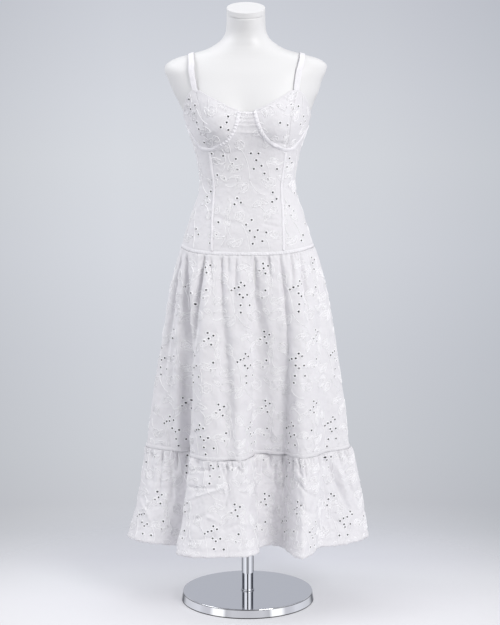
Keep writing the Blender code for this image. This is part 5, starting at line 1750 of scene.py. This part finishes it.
def addLight(name, place, target, size, energy, colour):
    # a rectangle that faces its target
    lamp = bpy.data.lights.new(name, "AREA")
    lamp.shape, lamp.energy, lamp.color = "RECTANGLE", energy, colour
    lamp.size, lamp.size_y = size
    thing = linked(name, lamp)
    thing.location = place
    aim = np.array(target, float) - np.array(place, float)
    thing.rotation_euler = (math.atan2(math.hypot(aim[0], aim[1]), -aim[2]), 0.0, math.atan2(-aim[0], aim[1]))


def ramped(finish, value, stops):
    # a colour read from (value, tone) stops
    low, high = stops[0][0], stops[-1][0]
    places = [((place - low) / (high - low), linear(tone)) for place, tone in stops]
    return finish.node("ShaderNodeValToRGB", {"stops": places}, {"Fac": (value - low) / (high - low)})


def mixed(finish, share, one, other, blend="MIX"):
    # the first colour, and by the share the other, or their product
    settings = {"data_type": "RGBA", "blend_type": blend}
    return finish.node("ShaderNodeMix", settings, {0: share, 6: one, 7: other}, output=2)


def buildWorld():
    # seen straight, the backdrop's gradient; for light and gloss, a room with a dimmer front
    world = bpy.data.worlds.new("studio")
    finish = Finish(world, "Background")
    bpy.context.scene.world = world
    where = finish.coordinates("Generated")
    parts = [finish.node("ShaderNodeSeparateXYZ", None, {"Vector": where}, output=part) for part in (0, 1, 2)]
    elevation = parts[2].math("ARCSINE") * (180 / math.pi)
    around = (parts[0].math("ARCTAN2", parts[1] * -1.0) * (180 / math.pi)).math("ABSOLUTE")   # 0 in front
    behind = parts[0].math("ARCTAN2", parts[1]) * (180 / math.pi)                             # 0 at the back
    seen = mixed(finish, 1.0, ramped(finish, elevation, studio["backdrop"]),
                 ramped(finish, behind, studio["sideways"]), "MULTIPLY")
    light = mixed(finish, 1.0, ramped(finish, elevation, room["byElevation"]),
                  ramped(finish, around, room["byHeading"]), "MULTIPLY")
    for middle, half, tones in room["bands"]:
        apart = (elevation - middle).math("ABSOLUTE").math("SUBTRACT", half).math("DIVIDE", room["bandEdge"])
        apart.socket.node.use_clamp = True
        light = mixed(finish, apart, ramped(finish, around, tones), light)
    straight = finish.node("ShaderNodeLightPath")
    finish.feed("Color", mixed(finish, straight, light, seen))
    finish.feed("Strength", straight * (1 - room["strength"]) + room["strength"])


def addFloor():
    # a paper disc that fades into the backdrop towards its edge
    finish = Finish(bpy.data.materials.new("floor_paper"), Roughness=0.9)
    deep = finish.node("ShaderNodeSeparateXYZ", None, {"Vector": finish.coordinates()}, output=1)
    # the tone darkens behind the object: painted shade, in both its lit and its glowing share
    tone = ramped(finish, deep, studio["floor"])
    for share, target in ((1 - studio["floorGlow"], "Base Color"), (studio["floorGlow"], "Emission Color")):
        part = finish.node("ShaderNodeVectorMath", {"operation": "SCALE"}, {0: tone, "Scale": share})
        finish.feed(target, part)
    finish.feed("Emission Strength", 1.0)
    finish.feed("Specular IOR Level", 0.0)
    where = finish.coordinates()
    distance = finish.node("ShaderNodeVectorMath", {"operation": "LENGTH"}, {0: where}, output=1)
    start, end = studio["floorFade"]
    span = {"Value": distance, "From Min": start, "From Max": end * studio["floorRadius"],
            "To Min": 1.0, "To Max": 0.0}
    finish.feed("Alpha", finish.node("ShaderNodeMapRange", {"interpolation_type": "SMOOTHSTEP"}, span))
    sides, count = studio["floorSides"], studio["floorRings"]
    turn = np.linspace(0, 2 * math.pi, sides, endpoint=False)
    rings = np.linspace(0.02, 1, count)[:, None] * studio["floorRadius"]
    points = np.stack(np.broadcast_arrays(rings * np.cos(turn), rings * np.sin(turn), -0.0005), axis=-1)
    index = np.arange(count * sides).reshape(count, sides)
    mesh = bpy.data.meshes.new("floor")
    mesh.from_pydata(points.reshape(-1, 3).tolist(), [],
                     gridQuads(wrapped(index))[:, ::-1].tolist() + [index[0].tolist()])
    mesh.materials.append(finish.material)
    floor = linked("floor", mesh)
    floor.visible_glossy = False
    return floor


def buildStudio():
    # the photograph's camera and lights, the backdrop and the floor
    camera = bpy.data.cameras.new("camera")
    camera.lens = studio["focal"] / studio["photoHeight"] * studio["sensor"]
    camera.sensor_width = studio["sensor"]
    viewer = linked("camera", camera)
    viewer.location = studio["cameraPlace"]
    viewer.rotation_euler = (math.radians(90 - studio["pitch"]), 0.0, 0.0)
    bpy.context.scene.camera = viewer
    for light in studio["lights"]:
        addLight(*light)
    buildWorld()
    addFloor()
    bpy.context.scene.view_settings.view_transform = "Standard"


buildStudio()
print("studio set")
